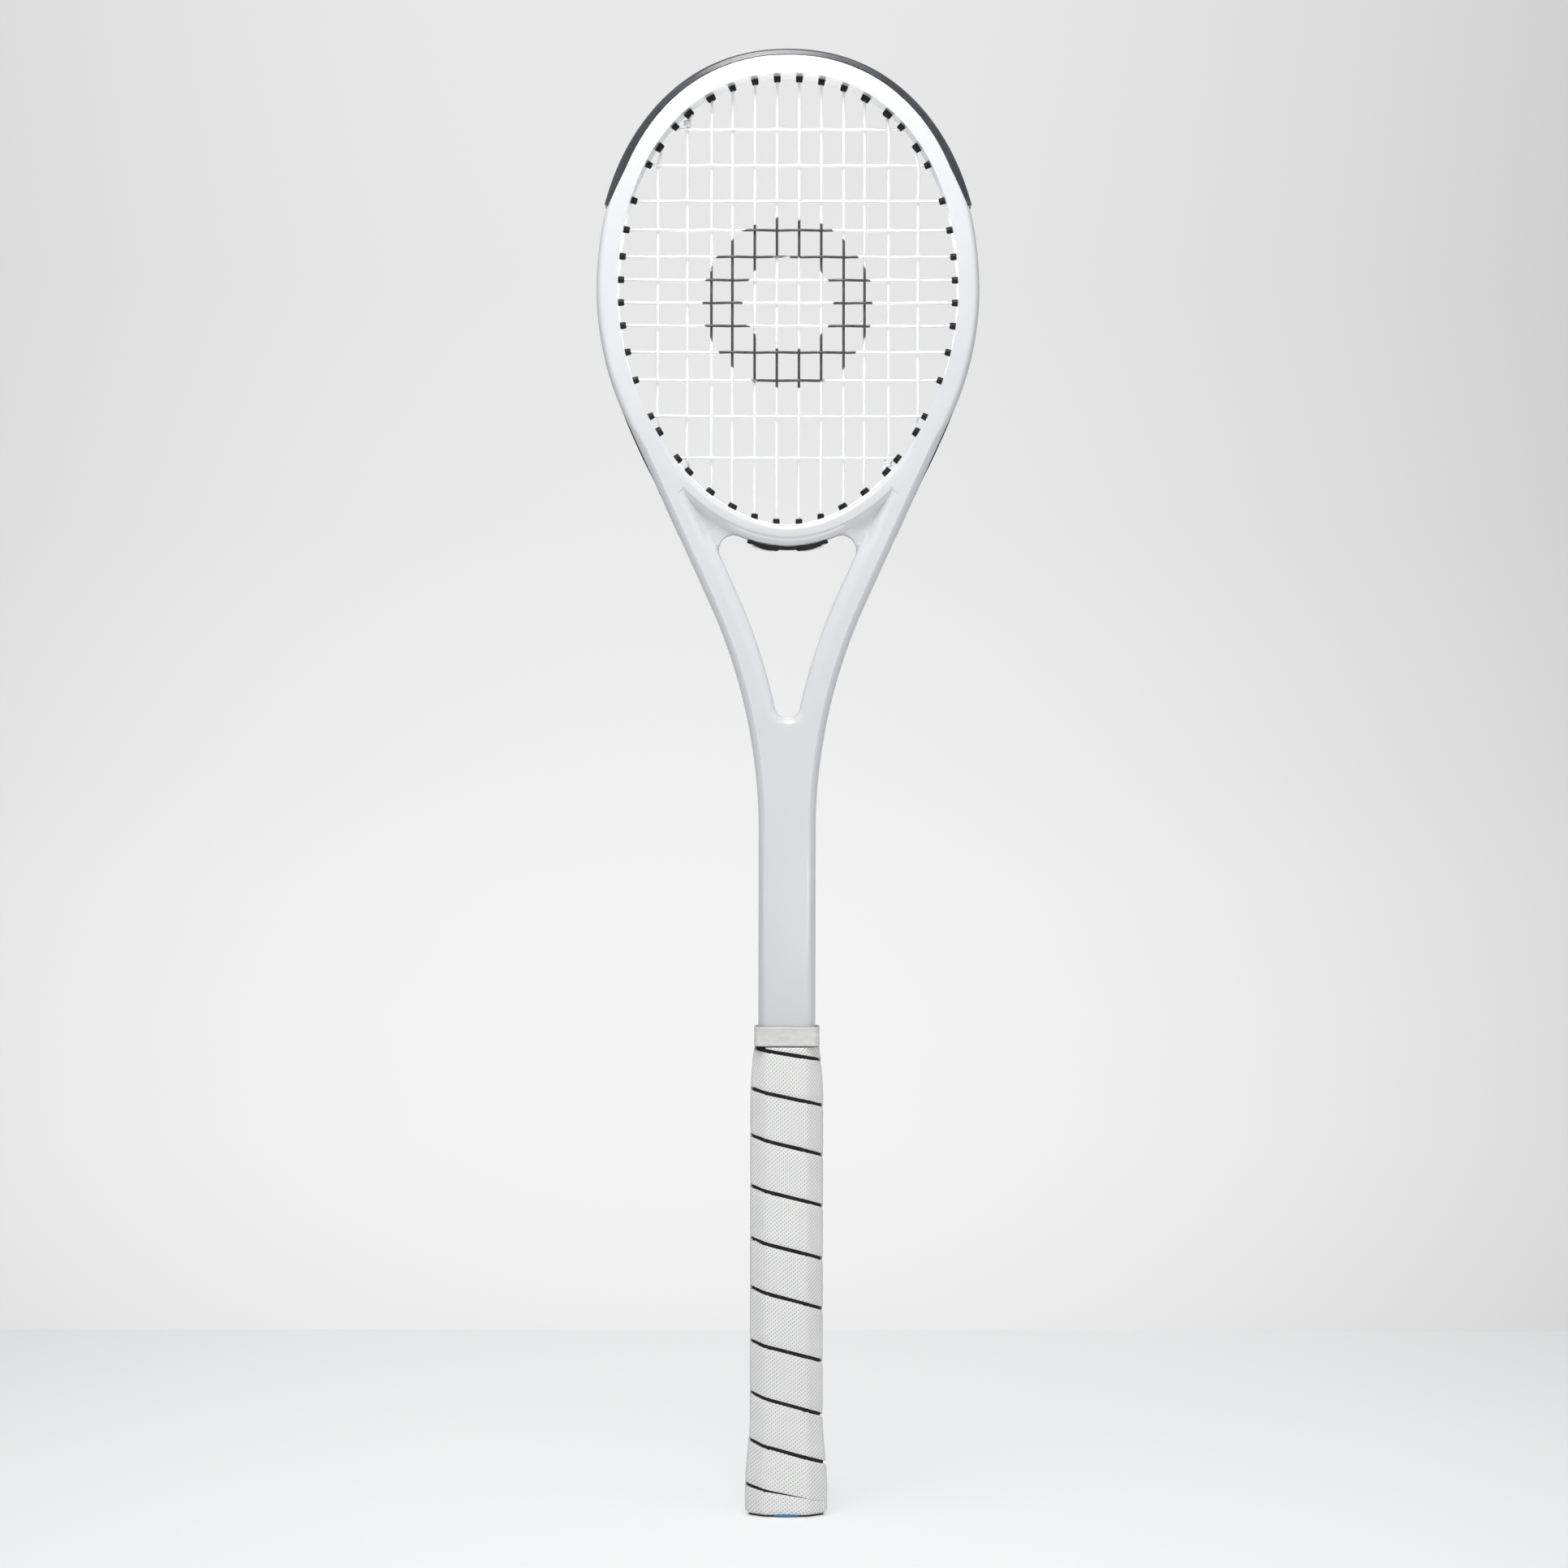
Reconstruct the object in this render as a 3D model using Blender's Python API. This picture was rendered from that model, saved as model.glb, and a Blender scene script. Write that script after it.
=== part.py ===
"""Tennis training racket: a reduced oval head on an open throat, a long shaft and a taped handle.

Every size is in metres. Z runs up the racket from the butt, X across the string bed and Y from the front
face to the back. The frame's outline is made of arcs and a two-power oval, and its faces are a relief whose
depth follows the distance to the edges, so that hoop, arms and bridge melt into each other.
"""

import math

import bmesh
import bpy
import numpy as np
from mathutils.geometry import delaunay_2d_cdt

# Whole racket
LENGTH = 0.6858
GAP = 0.0003

# Oval opening of the head
OVAL_HALF_WIDTH = 0.0796
OVAL_RISE = 0.1027
OVAL_DROP = 0.1081
UPPER_POWER = 2.17
LOWER_POWER = 1.87

# Frame section
HOOP_WIDTH = 0.0099
ARM_WIDTH = 0.0137
HALF_DEPTH = 0.011
WALL_HALF = 0.007
HOOP_ROUND = 0.003
ARM_INNER_ROUND = 0.0045
WEB_HALF = 0.006

# Arms and shaft
SHAFT_HALF_WIDTH = 0.0133
FLARE_BELOW_HEAD = 0.2519
FLARE_RADIUS = 0.258
FLARE_ANGLE = math.radians(24.47)
SHOULDER_RADIUS = 0.1384
THROAT_BELOW_HEAD = 0.1987
CORNER_RADIUS = 0.007
CORE_HALF_WIDTH = 0.0105
CORE_HALF_DEPTH = 0.008
CORE_BOTTOM = 0.008
CORE_START = 0.001
CORE_STEP = 0.008

# Groove round the head, with its strips and string holes
GROOVE_HALF = 0.004
GROOVE_DEPTH = 0.003
GROOVE_DRAFT = 0.0001
STRIP_FLOOR = 0.001
STRIP_WALL = 0.001
STRIP_PROUD = 0.0005
STRIP_BELOW_HEAD = 0.1128
GUARD_TIP_RISE = 0.0413
GUARD_GROWTH = 0.018
GUARD_SIDE_SHARE = 1.15
GUARD_CROWN_LOSS = 0.6
GUARD_SKIN = 0.001
CROWN_SKIN = 0.0006
GUARD_BAND = 0.0046
GUARD_LEAST = 0.0004
BARREL_RADIUS = 0.0017
BARREL_REACH = 0.0026
BORE_RADIUS = 0.0011
TUNNEL_TURN = 0.0045
YOKE_EXIT_DROPS = {3: 0.1025, 4: 0.1085}
RAY_START = 0.004
RAY_END = 0.045
THROAT_STRIP_PAST = 0.003
BULGE_PLACE = 0.009
BULGE_HALF = 0.0051
BULGE_RISE = 0.0011
THROAT_RIM = 0.0014

# Strings
STRING_RADIUS = 0.00065
WEAVE = 0.0009
LAYER = 0.0012
TIE_STEP = 0.0015
MAIN_SIDE_GAP = 0.0186
MAIN_OFFSETS = (0.0052, 0.0156, 0.0261, 0.0359, 0.0472, 0.0610)
CROSS_TOP_GAP = 0.0252
CROSS_BOTTOM_GAP = 0.0315
CROSS_GAPS = (0.0168, 0.0168, 0.0136, 0.0125, 0.0109, 0.0107, 0.0108, 0.0124, 0.0132, 0.0169, 0.0195)
KNOT_RADIUS = 0.0019
KNOT_TURNS = 1.5
KNOT_PITCH = 0.0021
KNOT_STAND_OFF = 0.0024

# Handle
HANDLE_TOP = 0.219
GRIP_HALF_WIDTH = 0.01705
GRIP_HALF_DEPTH = 0.0150
GRIP_TOP_NARROWING = 0.0018
GRIP_TOP_TAPER = 0.023
BUTT_FLARE = 0.0022
BUTT_FLARE_LENGTH = 0.034
FLARE_TOP = 0.012
FACET_SHARE = 0.56
BACKING = 0.0007
TAPE = 0.001
TAPE_PITCH = 0.0236
TAPE_LINE = 0.0017
TAPE_BOTTOM = 0.0055
TAPE_PHASE = 0.0126
TAPE_LEAST_END = 0.0012
CAP_HEIGHT = 0.036
CAP_WALL = 0.0016
CAP_FLOOR = 0.0035
PALLET_STRAIGHT = 0.024
DOOR_THICKNESS = 0.0015
DOOR_HALF_WIDTH = 0.0125
DOOR_HALF_DEPTH = 0.0095
STAPLE_WIDTH = 0.011
STAPLE_WIRE = 0.0009
STAPLE_LEG = 0.004
STAPLE_Z = 0.026
COLLAR_HEIGHT = 0.009
COLLAR_WALL = 0.0011
FINISHING_TAPE = 0.0004
FINISHING_HEIGHT = 0.0083

OVAL_TOP = LENGTH - HOOP_WIDTH - GUARD_SKIN - CROWN_SKIN - GAP
OVAL_WIDEST = OVAL_TOP - OVAL_RISE
OVAL_BOTTOM = OVAL_WIDEST - OVAL_DROP
FLARE_START = OVAL_WIDEST - FLARE_BELOW_HEAD
THROAT_BOTTOM = OVAL_WIDEST - THROAT_BELOW_HEAD
STRIP_END_Z = OVAL_WIDEST - STRIP_BELOW_HEAD
GUARD_TIP_Z = OVAL_WIDEST + GUARD_TIP_RISE
YOKE_EXITS = {number: OVAL_WIDEST - drop for number, drop in YOKE_EXIT_DROPS.items()}
MAIN_SCALE = (OVAL_HALF_WIDTH - MAIN_SIDE_GAP) / MAIN_OFFSETS[-1]
CROSS_SPAN = OVAL_RISE + OVAL_DROP - CROSS_TOP_GAP - CROSS_BOTTOM_GAP
CROSS_SCALE = CROSS_SPAN / sum(CROSS_GAPS)
THROAT_STRIP_HALF = MAIN_OFFSETS[1] * MAIN_SCALE + THROAT_STRIP_PAST
PALLET_SKIN = BACKING + TAPE + 2 * GAP
SIDES = 6
DENSE = 1600

COLOURS = {
    "paint": ((0.88, 0.89, 0.90), 0.18, 0.0),
    "guard": ((0.045, 0.045, 0.047), 0.35, 0.0),
    "grommet": ((0.02, 0.02, 0.02), 0.45, 0.0),
    "string": ((0.85, 0.85, 0.84), 0.3, 0.0),
    "tape": ((0.72, 0.72, 0.70), 0.6, 0.0),
    "felt": ((0.015, 0.015, 0.015), 0.9, 0.0),
    "finishing": ((0.80, 0.80, 0.79), 0.5, 0.0),
    "rubber": ((0.74, 0.73, 0.70), 0.4, 0.0),
    "pallet": ((0.25, 0.25, 0.26), 0.6, 0.0),
    "cap": ((0.80, 0.80, 0.79), 0.3, 0.0),
    "door": ((0.05, 0.25, 0.60), 0.4, 0.0),
    "steel": ((0.60, 0.60, 0.62), 0.3, 1.0),
}


def clear_scene():
    """Remove whatever the open file holds."""
    for item in list(bpy.data.objects):
        bpy.data.objects.remove(item, do_unlink=True)


def material(name):
    """The named finish as a Principled material."""
    found = bpy.data.materials.get(name)
    if found:
        return found
    colour, roughness, metallic = COLOURS[name]
    made = bpy.data.materials.new(name)
    made.use_nodes = True
    shader = made.node_tree.nodes["Principled BSDF"]
    shader.inputs["Base Color"].default_value = (*colour, 1.0)
    shader.inputs["Roughness"].default_value = roughness
    shader.inputs["Metallic"].default_value = metallic
    return made


def solid(name, points, faces, finish=None):
    """An object from points and faces, its normals facing out."""
    mesh = bpy.data.meshes.new(name)
    mesh.from_pydata([tuple(map(float, p)) for p in points], [], [tuple(map(int, f)) for f in faces])
    work = bmesh.new()
    work.from_mesh(mesh)
    bmesh.ops.recalc_face_normals(work, faces=work.faces)
    work.to_mesh(mesh)
    work.free()
    mesh.shade_smooth()
    mesh.set_sharp_from_angle(angle=math.radians(35))
    made = bpy.data.objects.new(name, mesh)
    bpy.context.collection.objects.link(made)
    if finish:
        mesh.materials.append(material(finish))
    return made


def hidden(name, shapes):
    """A cutter or filler that holds several closed shapes."""
    points, faces = joined(shapes)
    made = solid(name, points, faces)
    made.hide_render = True
    made.display_type = "WIRE"
    return made


def joined(shapes):
    """Several (points, faces) shapes as one."""
    points, faces, start = [], [], 0
    for some_points, some_faces in shapes:
        points.extend(some_points)
        faces.extend([tuple(start + i for i in face) for face in some_faces])
        start += len(some_points)
    return points, faces


def combine(target, other, operation):
    """A live Boolean of a hidden object on the target."""
    modifier = target.modifiers.new(operation.lower(), "BOOLEAN")
    modifier.operation = operation
    modifier.solver = "EXACT"
    modifier.object = other


def loft(rings, closed=False):
    """The closed surface through rings of equal count, capped at its ends unless it closes on itself."""
    rings = np.asarray(rings, float)
    stations, count = rings.shape[:2]
    faces = []
    for i in range(stations if closed else stations - 1):
        j = (i + 1) % stations
        for k in range(count):
            m = (k + 1) % count
            faces.append((i * count + k, i * count + m, j * count + m, j * count + k))
    if not closed:
        faces.append(tuple(range(count)))
        faces.append(tuple((stations - 1) * count + k for k in range(count)))
    return list(rings.reshape(-1, 3)), faces


def tube(path, radius, sides=SIDES):
    """A round tube along a path of points, its rings square to the path's bends."""
    path = np.asarray(path, float)
    steps = np.diff(path, axis=0)
    steps /= np.linalg.norm(steps, axis=1)[:, None]
    ways = np.vstack([steps[:1], steps[:-1] + steps[1:], steps[-1:]])
    ways /= np.linalg.norm(ways, axis=1)[:, None]
    side = np.cross(ways[0], (0.0, 1.0, 0.0))
    angles = np.arange(sides) * 2 * math.pi / sides
    rings = []
    for place, way in zip(path, ways):
        side = side - way * side.dot(way)
        side /= np.linalg.norm(side)
        up = np.cross(way, side)
        rings.append(place + radius * (np.outer(np.cos(angles), side) + np.outer(np.sin(angles), up)))
    return loft(rings)


def oval(angle, offset=0.0):
    """Points and outward normals of the head's opening, moved outward by the offset."""
    angle = np.atleast_1d(angle)
    c, s = np.cos(angle), np.sin(angle)
    power = np.where(s > 0, UPPER_POWER, LOWER_POWER)
    height = np.where(s > 0, OVAL_RISE, OVAL_DROP)
    across = np.sign(c) * np.abs(c) ** (2 / power)
    along = np.sign(s) * np.abs(s) ** (2 / power)
    normal = np.stack(
        [
            np.sign(c) * np.abs(across) ** (power - 1) / OVAL_HALF_WIDTH,
            np.sign(s) * np.abs(along) ** (power - 1) / height,
        ],
        axis=1,
    )
    normal /= np.linalg.norm(normal, axis=1)[:, None]
    points = np.stack([OVAL_HALF_WIDTH * across, OVAL_WIDEST + height * along], axis=1)
    return points + normal * offset, normal


def arc(centre, radius, start, end, count):
    """Points and normals along an arc, its normals away from the centre."""
    angle = np.linspace(start, end, count)
    normal = np.stack([np.cos(angle), np.sin(angle)], axis=1)
    return np.asarray(centre) + normal * radius, normal


def flank(counts):
    """Right outer edge from the shaft up to the shoulder: flare arc, straight and shoulder arc."""
    low, middle, high = counts
    flare_centre = (SHAFT_HALF_WIDTH + FLARE_RADIUS, FLARE_START)
    points, normal = arc(flare_centre, FLARE_RADIUS, math.pi, math.pi - FLARE_ANGLE, low)
    normal = -normal
    widest = OVAL_HALF_WIDTH + HOOP_WIDTH
    shoulder_x = widest - SHOULDER_RADIUS * (1 - math.cos(FLARE_ANGLE))
    end = points[-1]
    shoulder_z = end[1] + (shoulder_x - end[0]) / math.tan(FLARE_ANGLE)
    line = end + np.linspace(0, 1, middle + 2)[1:-1, None] * (np.array([shoulder_x, shoulder_z]) - end)
    centre = (widest - SHOULDER_RADIUS, shoulder_z + SHOULDER_RADIUS * math.sin(FLARE_ANGLE))
    top, top_normal = arc(centre, SHOULDER_RADIUS, -FLARE_ANGLE, 0.0, high)
    line_normal = np.repeat(normal[-1:], middle, axis=0)
    return np.vstack([points, line, top]), np.vstack([normal, line_normal, top_normal])


def nearest(points, curve):
    """Shortest distance from each point to a dense curve, and the curve's height there."""
    points, curve = np.asarray(points), np.asarray(curve)
    start, step = curve[:-1], np.diff(curve, axis=0)
    length = (step**2).sum(axis=1)
    share = ((points[:, None] - start) * step).sum(axis=2) / length
    feet = start + np.clip(share, 0, 1)[..., None] * step
    reach = np.linalg.norm(points[:, None] - feet, axis=2)
    index = reach.argmin(axis=1)
    rows = np.arange(len(points))
    return reach[rows, index], feet[rows, index, 1]


def distance(points, curve):
    """Shortest distance from each point to a dense curve."""
    return nearest(points, curve)[0]


def outline(counts, hoop_count):
    """Right outer edge of the frame from the shaft to the crown, with normals: flank, then hoop."""
    points, normal = flank(counts)
    outside = distance(points, oval(np.linspace(-math.pi / 2, math.pi / 2, DENSE))[0]) >= HOOP_WIDTH
    last = np.nonzero(outside & (points[:, 1] < OVAL_WIDEST))[0][-1] + 1
    points, normal = points[:last], normal[:last]
    for height in (STRIP_END_Z - 2 * GAP, STRIP_END_Z - GAP):
        index = np.searchsorted(points[:, 1], height)
        low, high = points[index - 1], points[index]
        share = (height - low[1]) / (high[1] - low[1])
        points = np.insert(points, index, low + (high - low) * share, axis=0)
        normal = np.insert(normal, index, normal[index], axis=0)
    hoop, hoop_normal = oval(np.linspace(-math.pi / 2, math.pi / 2, 2 * DENSE), HOOP_WIDTH)
    first = np.argmin(np.linalg.norm(hoop - points[-1], axis=1))
    picks = set(np.linspace(first, len(hoop) - 1, hoop_count + 1).astype(int)[1:])
    picks |= {int(np.argmin(np.abs(hoop[:, 1] - z))) for z in (GUARD_TIP_Z - 2 * GAP, GUARD_TIP_Z - GAP)}
    picks = sorted(picks)
    return np.vstack([points, hoop[picks]]), np.vstack([normal, hoop_normal[picks]])


def mirrored(points, flip):
    """A right-hand run of points followed by its mirror image, back to its start."""
    back = points[::-1] * np.array([-1.0, 1.0])
    return np.vstack([points, back[flip:]])


def whole_outline(counts, hoop_count):
    """Outer edge from the right of the shaft over the crown to its left, with normals."""
    points, normal = outline(counts, hoop_count)
    return mirrored(points, 1), mirrored(normal, 1)


def core_outline():
    """Lower end of the shaft's right edge, slimmed where the handle wraps it."""
    half = CORE_HALF_WIDTH
    run = [(half, CORE_BOTTOM), (half, HANDLE_TOP / 2), (half, HANDLE_TOP + CORE_START)]
    run.append((SHAFT_HALF_WIDTH, HANDLE_TOP + CORE_STEP))
    return np.array(run)


OVAL_DENSE = oval(np.linspace(0, 2 * math.pi, DENSE))[0]
EDGE_DENSE, EDGE_NORMAL = whole_outline((90, 60, 60), 300)
EDGE_ALONG = np.concatenate([[0], np.cumsum(np.linalg.norm(np.diff(EDGE_DENSE, axis=0), axis=1))])
SIDE_DENSE = np.vstack([core_outline(), EDGE_DENSE, core_outline()[::-1] * np.array([-1.0, 1.0])])


def throat_floor():
    """Centre height and radius of the round at the throat's foot, which touches both arms."""
    low, high = THROAT_BOTTOM, OVAL_BOTTOM
    for _ in range(60):
        centre = (low + high) / 2
        radius = centre - THROAT_BOTTOM
        if distance([(0.0, centre)], EDGE_DENSE)[0] - ARM_WIDTH > radius:
            low = centre
        else:
            high = centre
    return centre, radius


FLOOR_Z, FLOOR_RADIUS = throat_floor()


def throat_corner():
    """Centre of the right upper corner, which touches the arm and the underside of the bridge."""
    points, normal = flank((200, 200, 20))
    run = points - normal * (ARM_WIDTH + CORNER_RADIUS)
    off = distance(run, OVAL_DENSE) - HOOP_WIDTH - CORNER_RADIUS
    index = np.nonzero((off < 0) & (run[:, 1] > FLOOR_Z))[0][0]
    return run[index], normal[index]


def throat_edge(step):
    """Edge of the throat opening, anticlockwise from the middle of its floor."""
    corner, arm_normal = throat_corner()
    points, normal = flank((200, 200, 20))
    side = points - normal * ARM_WIDTH
    tangent = side[:, 1] > FLOOR_Z - FLOOR_RADIUS * math.sin(FLARE_ANGLE)
    keep = tangent & (distance(side, [(-1e-4, FLOOR_Z), (1e-4, FLOOR_Z)]) > FLOOR_RADIUS + 1e-4)
    keep &= (side[:, 0] > 0) & (side[:, 1] < (corner + arm_normal * CORNER_RADIUS)[1])
    side = side[keep]
    reach = side[0] - (0.0, FLOOR_Z)
    turn = math.atan2(reach[1], reach[0])
    floor, _ = arc((0.0, FLOOR_Z), FLOOR_RADIUS, -math.pi / 2, turn, 7)
    count = max(3, int(np.linalg.norm(side[-1] - side[0]) / step))
    side = side[np.linspace(0, len(side) - 1, count).astype(int)][1:]
    near = OVAL_DENSE[np.argmin(np.linalg.norm(OVAL_DENSE - corner, axis=1))] - corner
    towards = near / np.linalg.norm(near)
    start = math.atan2(arm_normal[1], arm_normal[0])
    round_corner, _ = arc(corner, CORNER_RADIUS, start, math.atan2(towards[1], towards[0]), 7)
    meet = corner + towards * CORNER_RADIUS
    angles = np.linspace(-math.pi / 2, 0, DENSE)
    under, _ = oval(angles, HOOP_WIDTH)
    last = np.argmin(np.linalg.norm(under - meet, axis=1))
    bridge = under[np.linspace(last, 0, 6).astype(int)][1:]
    right = np.vstack([floor, side, round_corner, bridge])
    left = right[1:-1][::-1] * np.array([-1.0, 1.0])
    return np.vstack([right, left])


THROAT = throat_edge(0.008)
THROAT_LOOP = np.vstack([THROAT, THROAT[:1]])


def rounded(inset, width, low, high):
    """Depth over a rounded edge: low at the edge, high from the given width inward."""
    share = np.clip(inset / width, 0, 1)
    return low + (high - low) * np.sqrt(1 - (1 - share) ** 2)


def guard_share(z):
    """How far the guard has grown from its tips, from 0 to 1."""
    return np.clip((z - GUARD_TIP_Z) / GUARD_GROWTH, 0, 1) ** 0.7


def guard_band(z):
    """Width of the guard's band on the face, widest at the sides and slimmer over the crown."""
    crown = np.clip((z - OVAL_WIDEST) / (OVAL_TOP + HOOP_WIDTH - OVAL_WIDEST), 0, 1)
    width = GUARD_BAND * guard_share(z) * (GUARD_SIDE_SHARE - GUARD_CROWN_LOSS * crown**3)
    return np.maximum(width, GUARD_LEAST)


def half_depth(points):
    """Half depth of the frame at each point of the plane, the highest of hoop, arm and web."""
    points = np.asarray(points)
    z = points[:, 1]
    hoop_in = distance(points, OVAL_DENSE)
    edge_in, edge_z = nearest(points, SIDE_DENSE)
    hoop = np.minimum(
        rounded(hoop_in, HOOP_ROUND, WALL_HALF, HALF_DEPTH),
        rounded(HOOP_WIDTH - hoop_in, HOOP_ROUND, WALL_HALF, HALF_DEPTH),
    )
    hoop = np.where(hoop_in > HOOP_WIDTH + 1e-5, WEB_HALF, hoop)
    inner = np.where(z < FLOOR_Z, distance(points, THROAT_LOOP), ARM_WIDTH - edge_in)
    arm = np.minimum(
        rounded(edge_in, HOOP_ROUND, WALL_HALF, HALF_DEPTH),
        rounded(inner, ARM_INNER_ROUND, WALL_HALF, HALF_DEPTH),
    )
    arm = np.where((z >= FLOOR_Z) & (edge_in > ARM_WIDTH + 1e-5), WEB_HALF, arm)
    depth = np.maximum(np.maximum(hoop, arm), WEB_HALF)
    recessed = (edge_z > GUARD_TIP_Z - 1.5 * GAP) & (edge_in < guard_band(edge_z) + 1.5 * GAP)
    depth = np.where(recessed, depth - GUARD_SKIN - GAP, depth)
    core = np.clip((HANDLE_TOP + CORE_STEP - z) / (CORE_STEP - CORE_START), 0, 1)
    slim = CORE_HALF_DEPTH / HALF_DEPTH
    return depth * (1 + core * (slim - 1))


def face_loops():
    """Outlines and inner lines of the frame's face, as (points, closed) runs."""
    edge, normal = outline((7, 5, 6), 26)
    core = core_outline()
    runs = []
    for inset in (0.0, 0.0008, HOOP_ROUND):
        low = core - np.array([inset, 0.0])
        low[0, 1] += 0.7 * inset
        right = np.vstack([low, edge - normal * inset])
        runs.append((mirrored(right, 1), True))
    guard_edge = oval(np.linspace(0.0, math.pi, 400), HOOP_WIDTH)
    for shift in (0.0, 0.0005):
        points = guard_edge[0] - guard_edge[1] * (guard_band(guard_edge[0][:, 1]) + GAP + shift)[:, None]
        high = np.nonzero(guard_edge[0][:, 1] > GUARD_TIP_Z)[0]
        ends = high[[0, 3, 6]]
        middle = np.linspace(high[11], high[-12], 33).astype(int)
        picks = np.concatenate([ends, middle, len(points) - 1 - ends[::-1]])
        runs.append((points[picks], False))
    turns = np.linspace(0, 2 * math.pi, 84, endpoint=False)
    for inset in (0.0, 0.0008, HOOP_ROUND):
        runs.append((oval(turns, inset)[0], True))
    runs.append((THROAT, True))
    runs.extend(valley_runs())
    return runs


def valley_runs():
    """Lines that round the arms' inner sides and the hoop's underside at the yoke."""
    runs = []
    points, normal = flank((9, 10, 12))
    for inset in (0.0, 0.001, ARM_INNER_ROUND):
        side = points - normal * (ARM_WIDTH - inset)
        gap = distance(side, OVAL_DENSE)
        keep = (side[:, 1] > FLOOR_Z + 0.004) & (gap > HOOP_WIDTH - HOOP_ROUND + 0.5 * inset)
        keep &= (side[:, 0] > 0.002) & (side[:, 1] < OVAL_WIDEST)
        if inset == 0.0:
            corner_top = throat_corner()[0][1] + CORNER_RADIUS * math.sin(FLARE_ANGLE)
            keep &= side[:, 1] > corner_top + 0.001
        side = side[keep]
        if inset == 0.0:
            runs.append((side, False))
            runs.append((side * (-1, 1), False))
            continue
        floor, _ = arc((0.0, FLOOR_Z), FLOOR_RADIUS + inset, -math.pi / 2, -0.1, 6)
        right = np.vstack([floor, side])
        whole = np.vstack([(right[1:] * (-1, 1))[::-1], right])
        runs.append((whole, False))
    for inset in (0.0, 0.001, HOOP_ROUND):
        under, _ = oval(np.linspace(-math.pi / 2, 0, 30), HOOP_WIDTH - inset)
        keep = distance(under, SIDE_DENSE) > ARM_WIDTH - ARM_INNER_ROUND + 0.5 * inset
        if inset == 0.0:
            keep &= distance(under, THROAT_LOOP) > 0.0008
            runs.append((under[keep], False))
            runs.append((under[keep] * (-1, 1), False))
            continue
        under = under[keep]
        runs.append((np.vstack([(under[1:] * (-1, 1))[::-1], under]), False))
    return runs


def inside(points, loop):
    """Which points lie inside a closed loop, by counting crossings."""
    x, z = points[:, 0, None], points[:, 1, None]
    a, b = loop, np.roll(loop, -1, axis=0)
    spans = (a[:, 1] > z) != (b[:, 1] > z)
    rise = np.where(b[:, 1] == a[:, 1], 1, b[:, 1] - a[:, 1])
    cross = a[:, 0] + (z - a[:, 1]) * (b[:, 0] - a[:, 0]) / rise
    return (spans & (x < cross)).sum(axis=1) % 2 == 1


def frame_face():
    """Triangles of the frame's face in the plane, and its three boundary loops."""
    points, edges = [], []
    loops = face_loops()
    for run, closed in loops:
        start = len(points)
        points.extend(run)
        count = len(run)
        edges.extend((start + i, start + (i + 1) % count) for i in range(count if closed else count - 1))
    found, _, faces, *_ = delaunay_2d_cdt([tuple(map(float, p)) for p in points], edges, [], 0, 1e-6)
    found = np.array([tuple(v) for v in found])
    faces = np.array([tuple(f) for f in faces])
    centres = found[faces].mean(axis=1)
    hole = loops[5][0]
    keep = inside(centres, loops[0][0]) & ~inside(centres, hole) & ~inside(centres, THROAT)
    return found, faces[keep], loops[0][0], hole


def groove_share(z):
    """1 where the outer groove runs, 0 below the side strips."""
    return 1.0 if z > STRIP_END_Z - 1.5 * GAP else 0.0


def frame():
    """The whole moulding: two relief faces, walls between them with the outer groove, and string holes."""
    flat, faces, edge, hole = frame_face()
    used = np.unique(faces)
    order = {old: new for new, old in enumerate(used)}
    flat = flat[used]
    faces = [tuple(order[i] for i in face) for face in faces]
    depth = half_depth(flat)
    count = len(flat)
    points = [(x, -d, z) for (x, z), d in zip(flat, depth)]
    points += [(x, d, z) for (x, z), d in zip(flat, depth)]
    shapes = [tuple(face) for face in faces] + [tuple(count + i for i in reversed(face)) for face in faces]
    on_edge = distance(flat, np.vstack([edge, edge[:1]])) < 1e-6
    wall = {}
    for i in np.nonzero(on_edge)[0]:
        wall[i] = len(points)
        points += groove_points(flat[i], depth[i])
    seen = {}
    for face in faces:
        for a, b in zip(face, face[1:] + face[:1]):
            seen[(a, b)] = True
    for a, b in seen:
        if (b, a) in seen:
            continue
        if a in wall and b in wall:
            left = [a, *range(wall[a], wall[a] + 4), a + count]
            right = [b, *range(wall[b], wall[b] + 4), b + count]
            for k in range(5):
                shapes.append((left[k], left[k + 1], right[k + 1], right[k]))
        else:
            shapes.append((a, a + count, b + count, b))
    made = solid("frame", points, shapes, "paint")
    for group in ("main", "cross", "tie"):
        cuts = [tube(hole["cut"], BARREL_RADIUS + GAP) for hole in HOLES if hole["group"] == group]
        combine(made, hidden(group + "_hole_cutter", cuts), "DIFFERENCE")
    return made


def groove_points(place, depth):
    """Four points that carry the wall across the groove, or straight down where there is none."""
    share = groove_share(place[1])
    half = min(GROOVE_HALF, 0.8 * depth)
    index = np.argmin(np.linalg.norm(EDGE_DENSE - place, axis=1))
    floor = np.asarray(place) - EDGE_NORMAL[index] * GROOVE_DEPTH * share
    across = half - GROOVE_DRAFT if share else half / 2
    sunk = [(floor[0], -across, floor[1]), (floor[0], across, floor[1])]
    return [(place[0], -half, place[1]), *sunk, (place[0], half, place[1])]


def on_track(place, way, inset):
    """Reach and run at which a ray from the head meets the line at the inset inside the outer edge."""
    steps = np.linspace(RAY_START, RAY_END, 420)
    line = place + steps[:, None] * way
    outer = inside(line, SIDE_DENSE)
    depth = np.where(outer, 1, -1) * distance(line, SIDE_DENSE)
    index = np.nonzero(depth <= inset)[0][0]
    run = EDGE_ALONG[np.argmin(np.linalg.norm(EDGE_DENSE - line[index], axis=1))]
    return steps[index], run


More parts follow.
